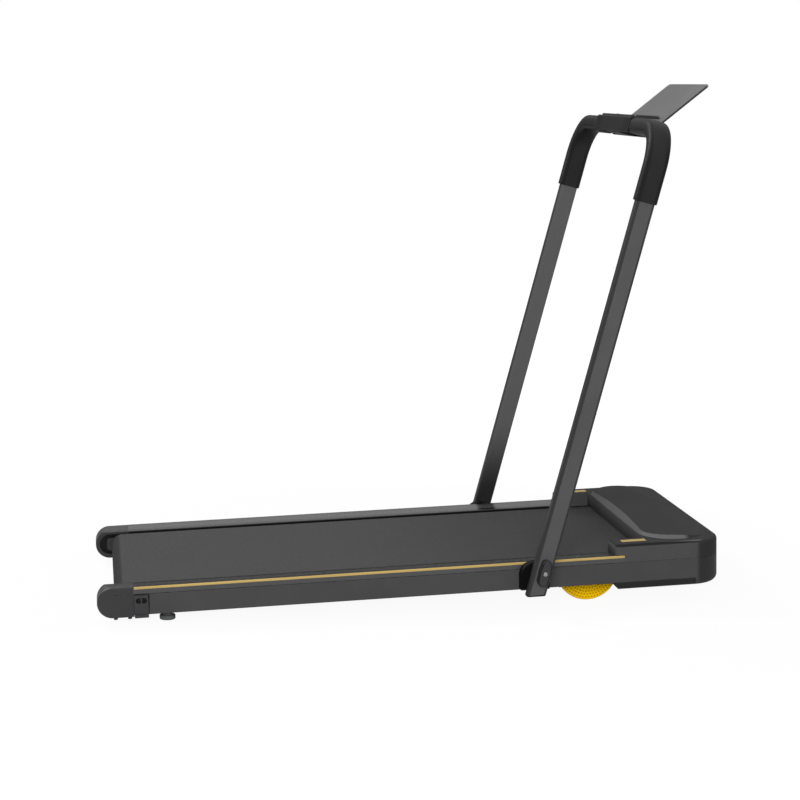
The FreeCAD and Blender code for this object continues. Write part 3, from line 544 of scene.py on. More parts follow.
@dataclass(frozen=True)
class HoodShell(Finish):
    """Hood moulding with painted light: painted shade on the level top, the arms' edges and the front,
    painted highlights on the flanks, and a rear wall whose painted shade at the foot turns to painted light
    at the top.

    Attributes:
        slope_facing: How far up a slope looks.
        painted_slope_tones: Painted shade on the arms' rounded edges and painted highlight on the flanks
            above them.
        pillow_z: Height where the arms end and the flanks begin, in metres.
        level_facing: How far up the level top looks.
        painted_top_shade: Painted shade on the level top.
        wall_facing: How far forward the rear wall looks, which is backward.
        wall_z: Foot and top of the rear wall in metres.
        painted_wall_tones: Painted shade and painted light on the rear wall there.
        painted_front_shade: Painted shade on faces that look forward.
    """

    slope_facing: Span = (0.25, 0.6)
    painted_slope_tones: Span = (0.2, 1.9)
    pillow_z: Span = (0.1335, 0.1355)
    level_facing: Span = (0.9, 0.965)
    painted_top_shade: float = 0.34
    wall_facing: Span = (-0.6, -0.9)
    wall_z: Span = (0.102, 0.136)
    painted_wall_tones: Span = (0.4, 1.15)
    painted_front_shade: float = 0.42

    def shade(self, sheet: ShaderSheet, base: Socket) -> Socket:
        """Paints light and shade that follow the slope of the moulding.

        Args:
            sheet: The material's sheet.
            base: Colour so far.

        Returns:
            Colour before wear and dust.
        """
        forward, _, up = sheet.facing()
        rise = sheet.spot()[2]
        tilted = sheet.band(up, self.level_facing[::-1])
        sloped = sheet.math("MULTIPLY", sheet.band(up, self.slope_facing), tilted)
        slope = self.tints(sheet, sheet.band(rise, self.pillow_z), self.painted_slope_tones)
        base = sheet.mix(sloped, base, slope)
        base = sheet.mix(sheet.band(up, self.level_facing), base, self.tint(self.painted_top_shade))
        wall = self.tints(sheet, sheet.band(rise, self.wall_z), self.painted_wall_tones)
        base = sheet.mix(sheet.band(forward, self.wall_facing), base, wall)
        return sheet.mix(sheet.band(forward, LOOKS_FORWARD), base, self.tint(self.painted_front_shade))


@dataclass(frozen=True)
class PostPaint(Finish):
    """Tube paint with painted light on the inner faces, which turns into painted shade towards the feet of
    the posts.

    Attributes:
        inner_facing: How far outwards an inner face looks, which is inwards.
        painted_inner_tones: Painted light on the inner faces, and painted shade on them at the feet.
        foot_z: Height of the painted shade in metres.
    """

    inner_facing: Span = (-0.3, -0.7)
    painted_inner_tones: Span = (1.25, 0.22)
    foot_z: Span = (0.3, 0.12)

    def shade(self, sheet: ShaderSheet, base: Socket) -> Socket:
        """Paints light and shade on the faces that look at the other post.

        Args:
            sheet: The material's sheet.
            base: Colour so far.

        Returns:
            Colour before wear and dust.
        """
        _, y, z = sheet.spot()
        outward = sheet.math("MULTIPLY", sheet.math("SIGN", y), sheet.facing()[1])
        inner = self.tints(sheet, sheet.band(z, self.foot_z), self.painted_inner_tones)
        return sheet.mix(sheet.band(outward, self.inner_facing), base, inner)


@dataclass(frozen=True)
class EndCap(Finish):
    """Rear cap: grey moulding with painted shade, near black, on the floor of the recess round the shaft's
    carrier.

    Attributes:
        floor_y: How far from the middle the recess's floor lies, in metres.
        floor_reach: How far from that floor the painted shade goes, in metres.
        painted_recess_shade: Painted shade on that floor.
    """

    floor_y: float = 0.236
    floor_reach: Span = (0.005, 0.0005)
    painted_recess_shade: float = 0.12

    def shade(self, sheet: ShaderSheet, base: Socket) -> Socket:
        """Paints shade, near black, on the bottom of the recess."""
        away = sheet.gap(sheet.math("ABSOLUTE", sheet.spot()[1]), self.floor_y)
        return sheet.mix(sheet.band(away, self.floor_reach), base, self.tint(self.painted_recess_shade))


@dataclass(frozen=True)
class SidePaint(Finish):
    """Painted side frame, with painted shade behind and close round each bracket and on faces that look
    forward.

    Attributes:
        bracket: Node that the painted shade lies round.
        opening: How far the painted shade goes past the bracket, in metres.
        blur: Width of its soft rim in metres.
        painted_bracket_shade: Painted shade round the bracket.
        painted_front_shade: Painted shade on faces that look forward.
    """

    bracket: str = "adjuster_bracket_R"
    opening: float = 0.0016
    blur: float = 0.0008
    painted_bracket_shade: float = 0.1
    painted_front_shade: float = 0.42

    def shade(self, sheet: ShaderSheet, base: Socket) -> Socket:
        """Paints shade in the opening round the bracket and on the faces that look forward.

        Args:
            sheet: The material's sheet.
            base: Colour so far.

        Returns:
            Colour before wear and dust.
        """
        x, _, z = sheet.spot()
        low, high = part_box(self.bracket)
        masks = []
        for value, start, end in ((x, low.x, high.x), (z, low.z, high.z)):
            reach = (end - start) / 2 + self.opening
            masks.append(sheet.band(sheet.gap(value, (start + end) / 2), (reach, reach - self.blur)))
        base = sheet.mix(sheet.math("MULTIPLY", *masks), base, self.tint(self.painted_bracket_shade))
        return sheet.mix(sheet.band(sheet.facing()[0], LOOKS_FORWARD), base, self.tint(self.painted_front_shade))


@dataclass(frozen=True)
class EndBand(Finish):
    """Moulded piece whose two ends to the left and right have another tone.

    Attributes:
        band_y: How far from the middle the end bands begin, in metres.
        band_colour: Linear colour of the bands.
        blur: Width of the change of tone in metres.
    """

    band_y: float = 0.1
    band_colour: Colour = (0.01, 0.01, 0.01)
    blur: float = 0.0008

    def shade(self, sheet: ShaderSheet, base: Socket) -> Socket:
        """Colours the two end bands."""
        end = sheet.band(sheet.math("ABSOLUTE", sheet.spot()[1]), (self.band_y, self.band_y + self.blur))
        return sheet.mix(end, base, shaded(self.band_colour))


@dataclass(frozen=True)
class BeltCloth(Finish):
    """Running belt: coated cloth with a fine embossed diamond weave, and painted shade where it turns down at
    the rear and close to the hood.

    Attributes:
        pitch: Distance between the diamonds in metres.
        crest: Product of the two waves in the grooves and on the crests.
        weave_tones: Shade of the grooves and lift of the crests.
        cloud_share: How far the cloudiness lifts the colour.
        cloud_lift: Lift at full cloudiness.
        fine_share: Height of the fine grain as a share of the diamonds' height.
        wrap_facing: How far forward the belt looks where it turns down at the rear.
        painted_wrap_shade: Painted shade on the belt there.
        front_x: Where the painted shade on the belt grows towards the hood, in metres.
        painted_front_shade: Painted shade on the belt close to the hood.
    """

    pitch: float = 0.0052
    crest: Span = (-0.9, 0.9)
    weave_tones: Span = (0.68, 1.26)
    cloud_share: float = 0.2
    cloud_lift: float = 1.1
    fine_share: float = 0.6
    wrap_facing: Span = (-0.12, -0.45)
    painted_wrap_shade: float = 0.5
    front_x: Span = (-0.2, 0.4)
    painted_front_shade: float = 0.72

    def weave(self, sheet: ShaderSheet) -> Socket:
        """Draws the diamonds as the product of two slanting waves.

        Args:
            sheet: The material's sheet.

        Returns:
            Height from 0 in the grooves to 1 on the crests.
        """
        x, y, _ = sheet.spot()
        runs = [sheet.math(operation, x, y) for operation in ("ADD", "SUBTRACT")]
        turns = [sheet.math("MULTIPLY", run, math.tau / self.pitch) for run in runs]
        waves = [sheet.math("SINE", turn) for turn in turns]
        return sheet.band(sheet.math("MULTIPLY", *waves), self.crest)

    def height(self, surface: Surface) -> Socket:
        """Diamonds over the fine grain."""
        grain = surface.sheet.math("MULTIPLY", surface.fine, self.fine_share)
        return surface.sheet.math("ADD", self.weave(surface.sheet), grain)

    def ground(self, surface: Surface) -> Socket:
        """Draws cloudy grey that is a little darker in the weave's grooves.

        Args:
            surface: What is drawn on.

        Returns:
            Colour of the cloth.
        """
        sheet = surface.sheet
        woven = self.tints(sheet, self.weave(sheet), self.weave_tones)
        cloudy = sheet.math("MULTIPLY", surface.cloud, self.cloud_share)
        return sheet.mix(cloudy, woven, self.tint(self.cloud_lift))

    def shade(self, sheet: ShaderSheet, base: Socket) -> Socket:
        """Paints shade on the belt where it turns down and close to the hood.

        Args:
            sheet: The material's sheet.
            base: Colour so far.

        Returns:
            Colour before wear and dust.
        """
        wrap = sheet.band(sheet.facing()[0], self.wrap_facing)
        base = sheet.mix(wrap, base, self.tint(self.painted_wrap_shade))
        front = sheet.band(sheet.spot()[0], self.front_x)
        return sheet.mix(front, base, shaded(WHITE[:3], self.painted_front_shade), way="MULTIPLY")


@dataclass(frozen=True)
class CoatedBoard(Finish):
    """Deck board: dark low-friction coat on its faces, pressed wood at its edges.

    Attributes:
        core: Linear colour of the wood.
        fibre_tones: Shade and lift of the wood's fibres.
        flat_facing: How far up or down a coated face looks.
    """

    core: Colour = (0.30, 0.20, 0.11)
    fibre_tones: Span = (0.7, 1.2)
    flat_facing: Span = (0.4, 0.6)

    def ground(self, surface: Surface) -> Socket:
        """Draws the coat where the board faces up or down, and wood fibre at the sides.

        Args:
            surface: What is drawn on.

        Returns:
            Colour of the board.
        """
        sheet = surface.sheet
        dark, light = (shaded(self.core, factor) for factor in self.fibre_tones)
        wood = sheet.mix(surface.lines(Lay.PRESSED_FLAT), dark, light)
        flat = sheet.band(sheet.math("ABSOLUTE", sheet.facing()[2]), self.flat_facing)
        return sheet.mix(flat, wood, shaded(self.colour))


@dataclass(frozen=True)
class DimpledRubber(Finish):
    """Half-moon foot: elastic yellow rubber with rows of dimples round its side faces, with painted shade in
    the dimples.

    Attributes:
        foot: Node that the rows lie on.
        radius: Outer radius of the half moon in metres.
        rest_cut: How much the flat rest face takes off that radius.
        margin: How far the outermost row lies inside the rim.
        pitch: Distance between rows and between dimples of a row.
        rows: How many rows there are.
        dimple_reach: How far a dimple goes from its middle, in metres.
        side_facing: How far sideways a face with rows looks.
        dimple_share: How far the colour in a dimple goes towards its painted shade.
        painted_dimple_shade: Painted shade in the dimples.
        fine_share: Height of the fine grain as a share of the dimples' depth.
    """

    foot: str = "front_foot_R"
    radius: float = 0.0665
    rest_cut: float = 0.0003
    margin: float = 0.006
    pitch: float = 0.0063
    rows: int = 7
    dimple_reach: Span = (0.002, 0.0012)
    side_facing: Span = (0.8, 0.95)
    dimple_share: float = 0.85
    painted_dimple_shade: float = 0.35
    fine_share: float = 0.15

    def dimples(self, sheet: ShaderSheet) -> Socket:
        """Draws rows of equally spaced dimples round the middle of the half moon.

        Args:
            sheet: The material's sheet.

        Returns:
            Mask of the dimples.
        """
        low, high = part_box(self.foot)
        x, _, z = sheet.spot()
        across = sheet.math("SUBTRACT", x, (low.x + high.x) / 2)
        up = sheet.math("SUBTRACT", z, self.radius - self.rest_cut)
        reach = sheet.length(across, up)
        outer = self.radius - self.margin
        row = sheet.math("ROUND", sheet.math("DIVIDE", sheet.math("SUBTRACT", outer, reach), self.pitch))
        row = sheet.math("MINIMUM", sheet.math("MAXIMUM", row, 0.0), self.rows - 1.0)
        ring = sheet.math("SUBTRACT", outer, sheet.math("MULTIPLY", row, self.pitch))
        lap = sheet.math("MULTIPLY", ring, math.tau)
        count = sheet.math("ROUND", sheet.math("DIVIDE", lap, self.pitch))
        turn = sheet.math("DIVIDE", sheet.math("ARCTAN2", up, across), math.tau)
        cell = sheet.math("SUBTRACT", sheet.math("FRACT", sheet.math("MULTIPLY", turn, count)), 0.5)
        along = sheet.math("DIVIDE", sheet.math("MULTIPLY", cell, lap), count)
        away = sheet.length(along, sheet.math("SUBTRACT", reach, ring))
        side = sheet.band(sheet.math("ABSOLUTE", sheet.facing()[1]), self.side_facing)
        return sheet.math("MULTIPLY", sheet.band(away, self.dimple_reach), side)

    def height(self, surface: Surface) -> Socket:
        """Dimples sunk into the grain."""
        grain = surface.sheet.math("MULTIPLY", surface.fine, self.fine_share)
        return surface.sheet.math("SUBTRACT", grain, self.dimples(surface.sheet))

    def shade(self, sheet: ShaderSheet, base: Socket) -> Socket:
        """Paints shade in the dimples."""
        dark = sheet.math("MULTIPLY", self.dimples(sheet), self.dimple_share)
        return sheet.mix(dark, base, self.tint(self.painted_dimple_shade))


@dataclass(frozen=True)
class CellFoam(Finish):
    """Closed-cell foam with fine pores.

    Attributes:
        pores: Pores to the metre, roughly.
        fine_share: Height of the fine grain as a share of the pores' depth.
    """

    pores: float = 900.0
    fine_share: float = 0.5

    def height(self, surface: Surface) -> Socket:
        """Draws the pores over the fine grain.

        Args:
            surface: What is drawn on.

        Returns:
            Height of the foam's relief.
        """
        sheet = surface.sheet
        cells = sheet.add("ShaderNodeTexVoronoi", {"Vector": sheet.place(), "Scale": self.pores})
        grain = sheet.math("MULTIPLY", surface.fine, self.fine_share)
        return sheet.math("ADD", cells.outputs["Distance"], grain)


@unique
class Finishes(Enum):
    """The finishes of the walking pad, each named as its material is, in capitals."""

    SIDE_PAINT = SidePaint(tone(65, 65, 66), specular=0.25, grain_scale=1800.0)
    RAIL_PLASTIC = RailCover(tone(62, 62, 63), roughness=0.26, specular=0.7, dust=0.0)
    CAP_PLASTIC = EndCap(tone(52, 52, 53), roughness=0.42, specular=0.3)
    GOLD_TRIM = BrushedMetal(
        tone(200, 171, 102), roughness=0.42, metallic=0.3, grain_depth=0.00004, wear=0.1,
        wear_colour=(0.7, 0.6, 0.4), dust=0.02, edge=0.0004, lay=Lay.ALONG_X,
    )
    BELT_CLOTH = BeltCloth(
        tone(80, 80, 81), roughness=0.85, specular=0.06, grain_depth=0.0003, wear=0.0, dust=0.04
    )
    BOARD_COAT = CoatedBoard(tone(30, 30, 31), roughness=0.4)
    BRIGHT_STEEL = BrushedMetal(
        tone(190, 190, 192), roughness=0.3, metallic=1.0, grain_depth=0.00003, edge=0.0004
    )
    TURNED_STEEL = BrushedMetal(
        tone(168, 168, 170), roughness=0.36, metallic=1.0, grain_depth=0.00004, lay=Lay.ALONG_X
    )
    CHASSIS_PAINT = Finish(tone(44, 44, 46))
    YELLOW_RUBBER = DimpledRubber(
        tone(238, 188, 6), roughness=0.6, specular=0.12, grain_depth=0.0008, cloud=0.05, wear=0.08,
        wear_colour=(0.8, 0.6, 0.2), dust=0.0,
    )
    BLACK_RUBBER = Finish(tone(50, 50, 52), roughness=0.78, specular=0.25)
    FOOT_RUBBER = Finish(tone(84, 86, 86), roughness=0.7, specular=0.3)
    HOOD_PLASTIC = HoodShell(tone(71, 71, 72), roughness=0.55, specular=0.1, grain_depth=0.00003, dust=0.0)
    PAN_PLASTIC = Finish(tone(36, 36, 37), roughness=0.55, specular=0.2)
    MOTOR_PAINT = Finish(tone(40, 40, 42), roughness=0.4)
    CIRCUIT_LACQUER = Finish(tone(28, 96, 62), roughness=0.35, coat=0.4)
    BLACK_PLASTIC = Finish(tone(34, 34, 35), roughness=0.42)
    RED_PLASTIC = Finish(tone(160, 30, 26), roughness=0.3, wear_colour=(0.5, 0.2, 0.18), coat=0.2)
    # Near black: dark plastic with painted shade, as the hinge blocks sit in the shadow of the posts.
    HINGE_PLASTIC = Finish(
        tone(12, 12, 13), roughness=0.6, specular=0.06, wear_colour=(0.02, 0.02, 0.02), dust=0.0
    )
    # Brackets, knobs, tubes and foam grips below have painted shade on faces that look forward or back.
    BRACKET_PLASTIC = Finish(tone(54, 54, 56), roughness=0.45, painted_end_shade=0.3)
    KNOB_PLASTIC = Finish(tone(56, 56, 58), specular=0.15, painted_end_shade=0.3)
    TUBE_PAINT = PostPaint(tone(76, 76, 77), roughness=0.46, specular=0.25, grain_scale=2200.0, painted_end_shade=0.4)
    GRIP_FOAM = CellFoam(tone(37, 37, 37), specular=0.14, grain_depth=0.0002, wear=0.0, dust=0.0, painted_end_shade=0.6)
    CONSOLE_PLASTIC = EndBand(tone(29, 29, 30), specular=0.12, band_y=0.088, band_colour=tone(20, 20, 20))
    LID_PLASTIC = Finish(tone(50, 50, 51), roughness=0.42, specular=0.25)
    DISPLAY_GLASS = Finish(
        tone(14, 14, 16), roughness=0.12, specular=0.5, grain_depth=0.00001, wear=0.05, dust=0.02, coat=0.6
    )
    BUTTON_PLASTIC = Finish(tone(88, 88, 90), roughness=0.42)
    TABLET_PLASTIC = EndBand(
        tone(120, 120, 120), roughness=0.6, specular=0.08, wear_colour=(0.35, 0.35, 0.35), dust=0.0,
        band_y=0.1385, band_colour=tone(58, 58, 58),
    )
    LEDGE_PLASTIC = Finish(tone(64, 64, 65))
    MARK_WHITE = Finish(tone(205, 205, 202), roughness=0.55, wear=0.0, edge=0.0002)


FinishPlan = Dict[Finishes, Sequence[str]]


class Palette:
    """The materials of the walking pad, each drawn once."""

    def __init__(self) -> None:
        """Draws every finish with the same effects."""
        effects = Effects()
        self.materials: Dict[Finishes, bpy.types.Material] = {
            finish: finish.value.make(finish.name.lower(), effects) for finish in Finishes
        }

    def dress(self, finish: Finishes, nodes: Sequence[str]) -> None:
        """Gives CAD nodes a finish.

        Args:
            finish: The finish.
            nodes: The nodes that take it.
        """
        for name in nodes:
            slots = frame["nodes"][name].data.materials
            slots.clear()
            slots.append(self.materials[finish])
            log.info("dressed %s in %s", name, self.materials[finish].name)


class Workbench:
    """Modelling by hand: a primitive is added, shaped in edit mode and finished with modifiers."""

    @staticmethod
    def clear() -> None:
        """Leaves edit mode and deselects every object."""
        if bpy.context.object and bpy.context.object.mode != "OBJECT":
            bpy.ops.object.mode_set(mode="OBJECT")
        bpy.ops.object.select_all(action="DESELECT")

    @staticmethod
    def pick_faces(piece: bpy.types.Object, test: Callable[[bpy.types.MeshPolygon], bool]) -> None:
        """Selects the faces that pass a test, in edit mode.

        Args:
            piece: The object in edit mode.
            test: Says whether a face is taken.
        """
        bpy.ops.mesh.select_all(action="DESELECT")
        bpy.ops.object.mode_set(mode="OBJECT")
        for face in piece.data.polygons:
            face.select = test(face)
        bpy.ops.object.mode_set(mode="EDIT")

    @staticmethod
    def soften(piece: bpy.types.Object, width: float, steps: int, sharp: float) -> None:
        """Rounds the sharp edges of the active piece.

        Args:
            piece: The active object.
            width: Width of the rounding in metres.
            steps: Rows of faces in the rounding.
            sharp: Angle in degrees from which an edge is sharp.
        """
        edges = piece.modifiers.new("soft_edges", "BEVEL")
        edges.width = width
        edges.segments = steps
        edges.limit_method = "ANGLE"
        edges.angle_limit = math.radians(sharp)
        bpy.ops.object.modifier_apply(modifier=edges.name)

    @staticmethod
    def settle(piece: bpy.types.Object, name: str, place: Matrix) -> bpy.types.Object:
        """Names a piece and puts its place into its mesh.

        Args:
            piece: The modelled object.
            name: Its name.
            place: Where its own frame lies in the row frame.

        Returns:
            The same object, at the origin.
        """
        bpy.ops.object.mode_set(mode="OBJECT")
        piece.name = name
        piece.data.name = name
        piece.matrix_world = place @ piece.matrix_world
        bpy.ops.object.transform_apply(location=True, rotation=True, scale=True)
        return piece

    @staticmethod
    def copy(piece: bpy.types.Object, name: str) -> bpy.types.Object:
        """Copies a piece with a mesh of its own.

        Args:
            piece: What is copied.
            name: The copy's name.

        Returns:
            The copy, alone selected and active.
        """
        Workbench.clear()
        twin = piece.copy()
        twin.data = piece.data.copy()
        twin.name = name
        twin.data.name = name
        bpy.context.scene.collection.objects.link(twin)
        twin.select_set(True)
        bpy.context.view_layer.objects.active = twin
        return twin


class HandleFrame:
    """The handrail's own frame: pivot at the origin, z up along the posts, y to the left."""

    def __init__(self) -> None:
        """Reads the frame from the fold joint and the press of the start button."""
        self.pivot = Vector(joint("handrail_fold")["pos_m"])
        self.up = -Vector(joint("start_press")["axis"]).normalized()
        self.left = Vector((0.0, 1.0, 0.0))

    def matrix(self) -> Matrix:
        """Takes the handrail's frame to the row frame."""
        turn = Matrix((self.left.cross(self.up), self.left, self.up)).transposed().to_4x4()
        return Matrix.Translation(self.pivot) @ turn

    def reach(self, name: str, axis: int) -> Span:
        """How far a node goes along one axis of the handrail's frame.

        Args:
            name: The node.
            axis: 0 forward, 1 to the left, 2 up the post.

        Returns:
            Its lowest and highest value.
        """
        back = self.matrix().inverted()
        values = [(back @ vertex.co)[axis] for vertex in frame["nodes"][name].data.vertices]
        return min(values), max(values)


@dataclass
class SubAssembly:
    """Pieces of the walking pad that belong together.

    Attributes:
        palette: The drawn materials.
    """

    palette: Palette

    def finishes(self) -> FinishPlan:
        """The nodes that take each finish."""
        return {}

    def dress(self) -> None:
        """Gives each node its finish."""
        for finish, nodes in self.finishes().items():
            self.palette.dress(finish, nodes)

    def build(self) -> None:
        """Models the pieces that the frame lacks, if there are any."""


@dataclass
class DeckFrame(SubAssembly):
    """Foot rails, end caps, brackets, feet and the hidden steel under the board."""

    def finishes(self) -> FinishPlan:
        """The nodes that take each finish."""
        return {
            Finishes.SIDE_PAINT: both_sides("side_frame"),
            Finishes.RAIL_PLASTIC: both_sides("rail_cover"),
            Finishes.CAP_PLASTIC: both_sides("end_cap"),
            Finishes.GOLD_TRIM: both_sides("rail_stripe"),
            Finishes.BRACKET_PLASTIC: both_sides("adjuster_bracket"),
            Finishes.FOOT_RUBBER: both_sides("rear_foot"),
            Finishes.BLACK_RUBBER: ("cushions",),
            Finishes.YELLOW_RUBBER: both_sides("front_foot"),
            Finishes.CHASSIS_PAINT: ("cross_tubes", "chassis_plate"),
        }


@dataclass
class RunningGear(SubAssembly):
    """Belt, board, rollers and shafts."""

    def finishes(self) -> FinishPlan:
        """The nodes that take each finish."""
        return {
            Finishes.BELT_CLOTH: ("running_belt",),
            Finishes.BOARD_COAT: ("deck_board",),
            Finishes.TURNED_STEEL: ("front_roller", "rear_roller", "roller_pulley"),
            Finishes.BRIGHT_STEEL: ("front_shaft", "rear_shaft"),
        }


@dataclass
class FrontHood(SubAssembly):
    """Hood, pan, wheels, drive and power inlet."""

    def finishes(self) -> FinishPlan:
        """The nodes that take each finish."""
        return {
            Finishes.HOOD_PLASTIC: ("hood_top",),
            Finishes.SIDE_PAINT: ("hood_lower",),
            Finishes.GOLD_TRIM: both_sides("hood_strip"),
            Finishes.PAN_PLASTIC: ("belly_pan",),
            Finishes.BLACK_PLASTIC: (*both_sides("transport_wheel"), "power_inlet"),
            Finishes.BRIGHT_STEEL: ("wheel_axles", "pan_screws"),
            Finishes.MOTOR_PAINT: ("motor_body",),
            Finishes.CHASSIS_PAINT: ("motor_bracket",),
            Finishes.TURNED_STEEL: ("motor_rotor",),
            Finishes.BLACK_RUBBER: ("drive_belt",),
            Finishes.CIRCUIT_LACQUER: ("control_board",),
            Finishes.RED_PLASTIC: ("rocker_switch",),
        }


@dataclass
class FoamGrip:
    """Foam sleeve over the bend of the handrail, from the post to the console.

    Attributes:
        place: The handrail's frame.
        thickness: Foam outside the tube, in metres.
        tube_depth: Depth of the tube across the post.
        bend_radius: Bend of the tube's middle line.
        corner: Corner radius of the sleeve's section.
        corner_steps: Edges in each round corner.
        rings: Rings of faces along each straight length.
        bend_steps: Rings of faces round the bend.
        weld: Distance under which doubled points are one.
        end_round: Rounding at the sleeve's ends.
        end_steps: Rows of faces in that rounding.
        end_angle: Angle in degrees from which an edge is an end.
        smooth_angle: Angle in degrees up to which faces are shaded as one.
    """

    place: HandleFrame
    thickness: float = 0.004
    tube_depth: float = 0.025
    bend_radius: float = 0.078
    corner: float = 0.011
    corner_steps: int = 6
    rings: int = 8
    bend_steps: int = 20
    weld: float = 0.00001
    end_round: float = 0.0022
    end_steps: int = 4
    end_angle: float = 60.0
    smooth_angle: float = 40.0

    def build(self) -> bpy.types.Object:
        """Models the left sleeve: a section is drawn up the post, spun and drawn along the crossbar.

        Returns:
            The left sleeve.
        """
        (back, front), (inner, outer), (foot, top) = (self.place.reach("grip_L", axis) for axis in range(3))
        depth = self.tube_depth + 2 * self.thickness
        post_y = outer - depth / 2
        bend = (0.0, post_y - self.bend_radius, top - depth / 2 - self.bend_radius)
        piece = self._section((0.0, post_y, foot), front - back, depth)
        self._draw_out((0.0, 0.0, bend[2] - foot))
        bpy.ops.mesh.spin(steps=self.bend_steps, angle=-math.pi / 2, center=bend, axis=(1.0, 0.0, 0.0))
        self._draw_out((0.0, inner - bend[1], 0.0))
        self._close(piece)
        return Workbench.settle(piece, "foam_grip_L", self.place.matrix())

    def mirror(self, piece: bpy.types.Object) -> bpy.types.Object:
        """Makes the right sleeve as a mirrored copy of the left one.

        Args:
            piece: The left sleeve.

        Returns:
            The right sleeve.
        """
        twin = Workbench.copy(piece, "foam_grip_R")
        bpy.ops.object.mode_set(mode="EDIT")
        bpy.ops.mesh.select_all(action="SELECT")
        bpy.ops.transform.resize(value=(1.0, -1.0, 1.0), center_override=(0.0, 0.0, 0.0))
        bpy.ops.mesh.normals_make_consistent(inside=False)
        bpy.ops.object.mode_set(mode="OBJECT")
        return twin

    def _section(self, middle: Place, width: float, depth: float) -> bpy.types.Object:
        """Starts a sleeve with its section, and stays in edit mode.

        Args:
            middle: Middle of the section in the handrail's frame.
            width: Its size from back to front.
            depth: Its size from left to right.

        Returns:
            The new object.
        """
        Workbench.clear()
        bpy.ops.mesh.primitive_plane_add(size=1.0, location=middle)
        bpy.ops.object.transform_apply(location=True, rotation=True, scale=True)
        bpy.ops.object.mode_set(mode="EDIT")
        bpy.ops.mesh.select_all(action="SELECT")
        bpy.ops.transform.resize(value=(width, depth, 1.0), center_override=middle)
        bpy.ops.mesh.bevel(
            offset=self.corner, offset_type="OFFSET", segments=self.corner_steps, affect="VERTICES"
        )
        return bpy.context.object

    def _draw_out(self, way: Place) -> None:
        """Draws the selected section out along a straight way, ring by ring.

        Args:
            way: How far it goes forward, to the left and up.
        """
        step = tuple(part / self.rings for part in way)
        for _ in range(self.rings):
            bpy.ops.mesh.extrude_region_move(TRANSFORM_OT_translate={"value": step})

    def _close(self, piece: bpy.types.Object) -> None:
        """Welds the sleeve, rounds its ends and smooths it.

        Args:
            piece: The sleeve in edit mode.
        """
        bpy.ops.mesh.select_all(action="SELECT")
        bpy.ops.mesh.remove_doubles(threshold=self.weld)
        bpy.ops.mesh.normals_make_consistent(inside=False)
        bpy.ops.object.mode_set(mode="OBJECT")
        Workbench.soften(piece, self.end_round, self.end_steps, self.end_angle)
        bpy.ops.object.shade_smooth_by_angle(angle=math.radians(self.smooth_angle))


@dataclass
class Handrail(SubAssembly):
    """Bent tube, foam grips, hinge blocks, knobs and bolts.

    Attributes:
        place: The handrail's frame.
    """

    place: HandleFrame

    def finishes(self) -> FinishPlan:
        """The nodes that take each finish."""
        return {
            Finishes.TUBE_PAINT: ("handle_tube",),
            Finishes.HINGE_PLASTIC: (*both_sides("hinge_block"), "post_plugs"),
            Finishes.KNOB_PLASTIC: both_sides("clamp_knob"),
            Finishes.BRIGHT_STEEL: ("pivot_bolts", "tablet_pin"),
        }

    def build(self) -> None:
        """Models both foam grips and lets them ride on the handrail."""
        grip = FoamGrip(self.place)
        left = grip.build()
        for piece, node in zip((left, grip.mirror(left)), both_sides("grip")):
            piece.data.materials.append(self.palette.materials[Finishes.GRIP_FOAM])
            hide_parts(node)
            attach(piece, "handrail")
            log.info("built %s", piece.name)


@dataclass
class ButtonMark:
    """Raised mark on one button.

    Attributes:
        place: The handrail's frame.
        reach: Half the mark's length in metres.
        stroke: Half the width of its bars.
        height: Height of the mark, of which a quarter is sunk.
        edge_steps: Rows of faces in its rounded edges.
        edge_angle: Angle in degrees from which an edge is rounded.
    """

    place: HandleFrame
    reach: float = 0.0027
    stroke: float = 0.0005
    height: float = 0.0004
    edge_steps: int = 2
    edge_angle: float = 30.0

    def minus(self, button: str) -> bpy.types.Object:
        """Models a bar: a cube drawn out to the left and right."""
        return self._cross(button, (1,))

    def plus(self, button: str) -> bpy.types.Object:
        """Models a cross: a cube drawn out to all four sides."""
        return self._cross(button, (0, 1))

    def start(self, button: str) -> bpy.types.Object:
        """Models a triangle that points to the left.

        Args:
            button: The node that carries the mark.

        Returns:
            The mark on its button.
        """
        Workbench.clear()
        bpy.ops.mesh.primitive_cylinder_add(vertices=3, radius=self.reach, depth=self.height)
        return self._seat(button)

    def _cross(self, button: str, axes: Sequence[int]) -> bpy.types.Object:
        """Draws arms out of a small cube.

        Args:
            button: The node that carries the mark.
            axes: The axes along which it gets arms: 0 forward, 1 to the left.

        Returns:
            The mark on its button.
        """
        Workbench.clear()
        bpy.ops.mesh.primitive_cube_add(size=1.0)
        bpy.ops.object.mode_set(mode="EDIT")
        bpy.ops.mesh.select_all(action="SELECT")
        size = (2 * self.stroke, 2 * self.stroke, self.height)
        bpy.ops.transform.resize(value=size, center_override=(0.0, 0.0, 0.0))
        Workbench.pick_faces(
            bpy.context.object, lambda face: any(round(abs(face.normal[axis])) == 1 for axis in axes)
        )
        bpy.ops.mesh.extrude_faces_move(TRANSFORM_OT_shrink_fatten={"value": self.reach - self.stroke})
        return self._seat(button)

    def _seat(self, button: str) -> bpy.types.Object:
        """Rounds the mark's edges and sets it on its button.

        Args:
            button: The node that carries the mark.

        Returns:
            The mark on its button.
        """
        piece = bpy.context.object
        quarter = self.height / 4
        Workbench.clear()
        piece.select_set(True)
        Workbench.soften(piece, quarter, self.edge_steps, self.edge_angle)
        middle = [sum(self.place.reach(button, axis)) / 2 for axis in (0, 1)]
        top = self.place.reach(button, 2)[1] + quarter
        seat = self.place.matrix() @ Matrix.Translation((*middle, top))
        return Workbench.settle(piece, "mark_" + button, seat)


